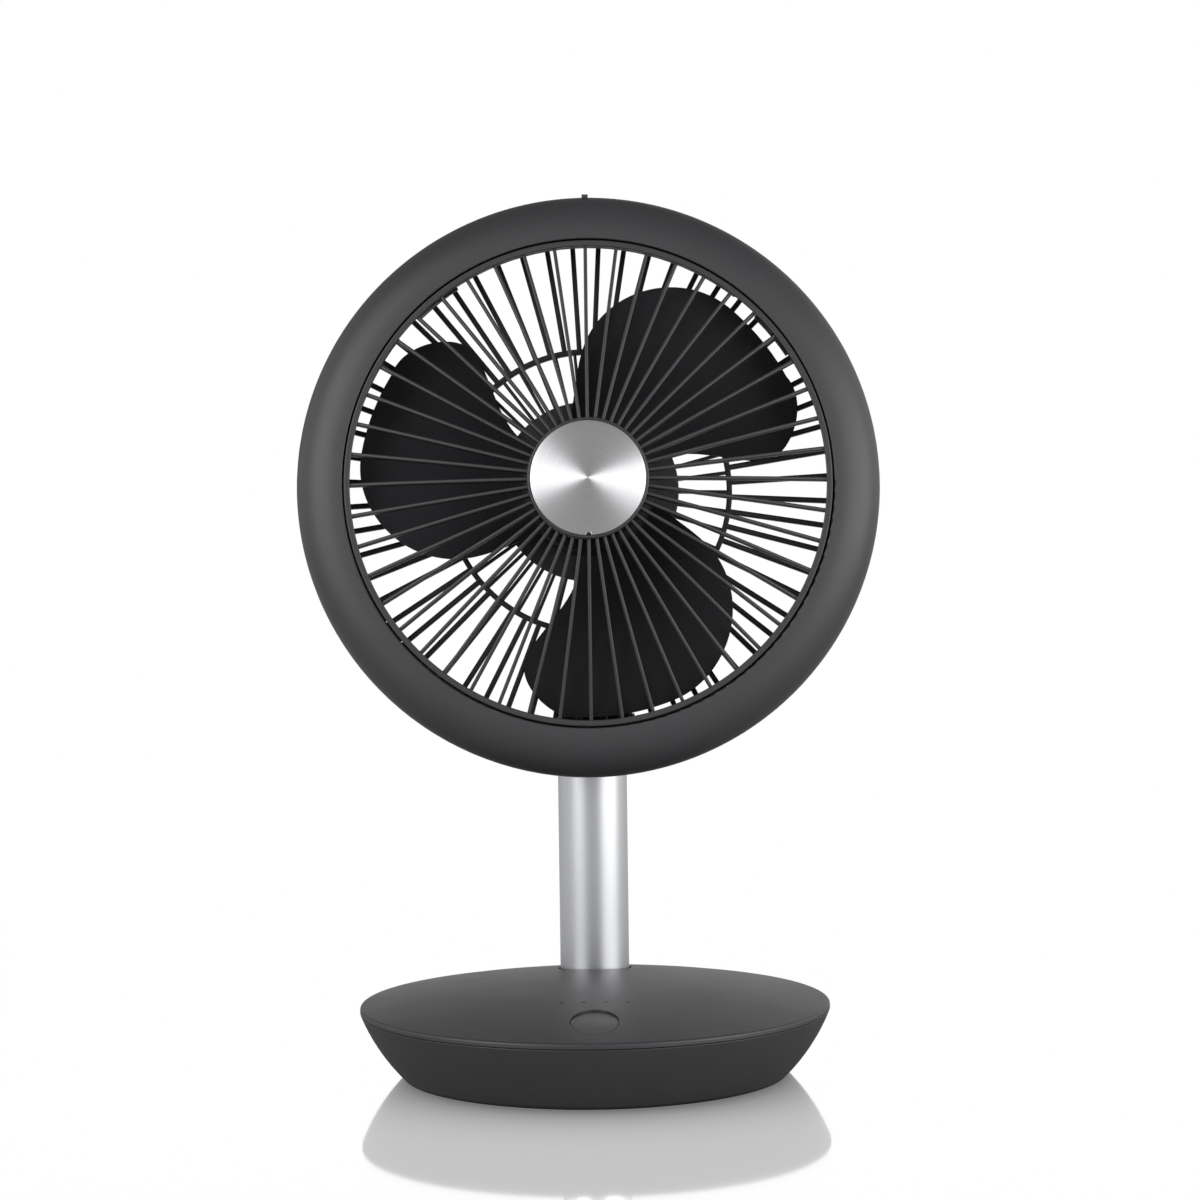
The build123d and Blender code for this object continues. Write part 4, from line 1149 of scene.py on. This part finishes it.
# ---- studio
@dataclass(frozen=True)
class SoftBox:
    """An area lamp that only its light and its mirror images show."""

    name: str
    place: Triple
    width: float
    height: float
    watts: float
    aim: Triple = (0.0, 0.0, 0.16)

    def build(self) -> None:
        """Put the lamp in the scene."""
        lamp = bpy.data.lights.new(self.name, "AREA")
        lamp.shape = "RECTANGLE"
        lamp.size, lamp.size_y, lamp.energy = self.width, self.height, self.watts
        holder = bpy.data.objects.new(self.name, lamp)
        holder.location = self.place
        direction = Vector(self.aim) - Vector(self.place)
        holder.rotation_euler = direction.to_track_quat("-Z", "Y").to_euler()
        holder.visible_camera = False
        bpy.context.scene.collection.objects.link(holder)


@dataclass(frozen=True)
class Studio:
    """White floor and surround, side lamps, and the camera of the photograph.

    The spans of the surround are shares of a direction's X, Y or Z, and those of the floor are distances.
    """

    lamps: tuple[SoftBox, ...] = (
        SoftBox("left_box", (-1.0, -0.9, 0.66), 1.0, 1.2, 12.0),
        SoftBox("right_box", (1.15, -0.75, 0.24), 1.5, 1.2, 19.0),
    )
    surround: str = "#8C8C8C"
    gloss_surround: str = "#C6C6C6"
    overhead: Point = (0.45, 0.85)
    overhead_dim: float = 0.85
    behind: Point = (0.55, 0.8)
    behind_left: Point = (0.12, -0.16)
    behind_dim: float = 0.7
    beside_left: Point = (-0.55, -0.9)
    beside_right: Point = (0.55, 0.9)
    left_gain: float = 0.8
    right_gain: float = 1.3
    backdrop_reach: Point = (0.88, 0.95)
    backdrop_foot: Point = (-0.01, 0.02)
    backdrop_head: Point = (0.26, 0.32)
    floor_side: float = 6.0
    floor_colour: str = "#B4B4B4"
    floor_roughness: float = 0.06
    floor_mirror: float = 0.46
    contact_mirror: float = 0.82
    contact_reach: Point = (0.067, 0.16)
    contact_fall: float = 4.0
    mirror_reach: Point = (0.3, 0.65)
    far_floor: Point = (0.13, 0.35)
    eye: Triple = (0.0036, -1.104, 0.212)
    pitch_degrees: float = 2.351
    roll_degrees: float = 0.75
    lens_mm: float = 94.65
    sensor_mm: float = 36.0
    clip: Point = (0.05, 20.0)

    def build(self) -> None:
        """Make everything round the object."""
        for lamp in self.lamps:
            lamp.build()
        self.world()
        self.floor()
        self.camera()

    def world(self) -> None:
        """Make a white surround for the camera, grey ones for the object and a white patch for mirrored rays.

        The grey that mirrored rays meet is dimmed overhead and in the left half of the rear, and brighter at
        the sides. The white patch is low in the rear, where the floor mirrors it towards the camera.
        """
        world = bpy.data.worlds.new("studio")
        tree = empty_tree(world)
        path = add_node(tree, "ShaderNodeLightPath").outputs
        direction = add_node(tree, "ShaderNodeTexCoord").outputs["Generated"]
        parts = add_node(tree, "ShaderNodeSeparateXYZ", (direction,)).outputs
        above, rear, rear_left, left, right, far, foot, head = (
            add_node(tree, "ShaderNodeMapRange", (parts[axis], *span, low, high))
            for axis, span, low, high in (
                ("Z", self.overhead, 0.0, self.overhead_dim),
                ("Y", self.behind, 0.0, 1.0),
                ("X", self.behind_left, 0.0, self.behind_dim),
                ("X", self.beside_left, 1.0, 1.0 + self.left_gain),
                ("X", self.beside_right, 1.0, 1.0 + self.right_gain),
                ("Y", self.backdrop_reach, 0.0, 1.0),
                ("Z", self.backdrop_foot, 0.0, 1.0),
                ("Z", self.backdrop_head, 1.0, 0.0),
            )
        )
        lost = add_node(tree, "ShaderNodeMath", (rear, rear_left), operation="MULTIPLY")
        lost = add_node(tree, "ShaderNodeMath", (above, lost), operation="MAXIMUM")
        strength = add_node(tree, "ShaderNodeMath", (1.0, lost), operation="SUBTRACT")
        for gain in (left, right):
            strength = add_node(tree, "ShaderNodeMath", (strength, gain), operation="MULTIPLY")
        backdrop = path["Is Glossy Ray"]
        for share in (far, foot, head):
            backdrop = add_node(tree, "ShaderNodeMath", (backdrop, share), operation="MULTIPLY")
        pale = add_node(tree, "ShaderNodeMath", (path["Is Camera Ray"], backdrop), operation="MAXIMUM")
        white, grey, gloss = (
            add_node(tree, "ShaderNodeBackground", (linear(code), light))
            for code, light in ((WHITE, 1.0), (self.surround, 1.0), (self.gloss_surround, strength))
        )
        greys = add_node(tree, "ShaderNodeMixShader", (path["Is Glossy Ray"], grey, gloss))
        both = add_node(tree, "ShaderNodeMixShader", (pale, greys, white))
        add_node(tree, "ShaderNodeOutputWorld", (both,))
        bpy.context.scene.world = world

    def floor(self) -> None:
        """Lay a white glossy sheet, lit evenly for the camera.

        It mirrors the object, most strongly at its foot and no more at a distance. For the object it is matt
        and grey, and as bright as the surround where mirrored rays meet it far away.
        """
        half = self.floor_side / 2
        corners = [(-half, -half, 0), (half, -half, 0), (half, half, 0), (-half, half, 0)]
        made = make_object("floor", corners, [range(len(corners))])
        material = bpy.data.materials.new("floor_sheet")
        tree = empty_tree(material)
        path = add_node(tree, "ShaderNodeLightPath").outputs
        place = add_node(tree, "ShaderNodeTexCoord").outputs["Object"]
        away = add_node(tree, "ShaderNodeVectorMath", (place,), operation="LENGTH").outputs["Value"]
        near, within, far = (
            add_node(tree, "ShaderNodeMapRange", (away, *span, first, 1.0 - first), interpolation_type=way)
            for span, first, way in (
                (self.contact_reach, 1.0, "LINEAR"),
                (self.mirror_reach, 1.0, "SMOOTHSTEP"),
                (self.far_floor, 0.0, "LINEAR"),
            )
        )
        near = add_node(tree, "ShaderNodeMath", (near, self.contact_fall), operation="POWER")
        rise = (near, self.contact_mirror - self.floor_mirror, self.floor_mirror)
        share = add_node(tree, "ShaderNodeMath", rise, operation="MULTIPLY_ADD")
        share = add_node(tree, "ShaderNodeMath", (share, within), operation="MULTIPLY")
        far = add_node(tree, "ShaderNodeMath", (far, path["Is Glossy Ray"]), operation="MULTIPLY")
        glow, pale = (
            add_node(tree, "ShaderNodeEmission", (linear(code), 1.0)) for code in (WHITE, self.gloss_surround)
        )
        mirror = add_node(tree, "ShaderNodeBsdfGlossy", (linear(WHITE), self.floor_roughness))
        matt = add_node(tree, "ShaderNodeBsdfDiffuse", (linear(self.floor_colour),))
        seen = add_node(tree, "ShaderNodeMixShader", (share, glow, mirror))
        lit = add_node(tree, "ShaderNodeMixShader", (far, matt, pale))
        both = add_node(tree, "ShaderNodeMixShader", (path["Is Camera Ray"], lit, seen))
        add_node(tree, "ShaderNodeOutputMaterial", (both,))
        made.data.materials.append(material)

    def camera(self) -> None:
        """Place the photograph's camera."""
        lens = bpy.data.cameras.new("camera")
        lens.sensor_width, lens.lens = self.sensor_mm, self.lens_mm
        lens.sensor_fit = "HORIZONTAL"
        lens.clip_start, lens.clip_end = self.clip
        holder = bpy.data.objects.new("camera", lens)
        tilt = Matrix.Rotation(math.radians(90 - self.pitch_degrees), 4, "X")
        roll = Matrix.Rotation(math.radians(-self.roll_degrees), 4, "Z")
        holder.matrix_world = Matrix.Translation(Vector(self.eye)) @ tilt @ roll
        bpy.context.scene.collection.objects.link(holder)
        bpy.context.scene.camera = holder


def main() -> None:
    """Dress the CAD nodes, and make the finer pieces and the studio."""
    logging.basicConfig(level=logging.INFO, format="%(name)s: %(message)s")
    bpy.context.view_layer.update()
    bpy.context.scene.view_settings.view_transform = "Standard"
    materials, array = {finish.name: finish.build() for finish in FINISHES}, RadialArray()
    head, row = place_matrix("rotor_spin"), place_matrix()
    for piece, place in ((FrontGrille, head), (RearGuard, head), (Badge, head), (Button, row)):
        made = piece(materials, place, array).build()
        LOG.info("%s: %d faces", made.name, len(made.data.polygons))
    Studio().build()
    bpy.context.view_layer.update()


if __name__ == "__main__":
    main()
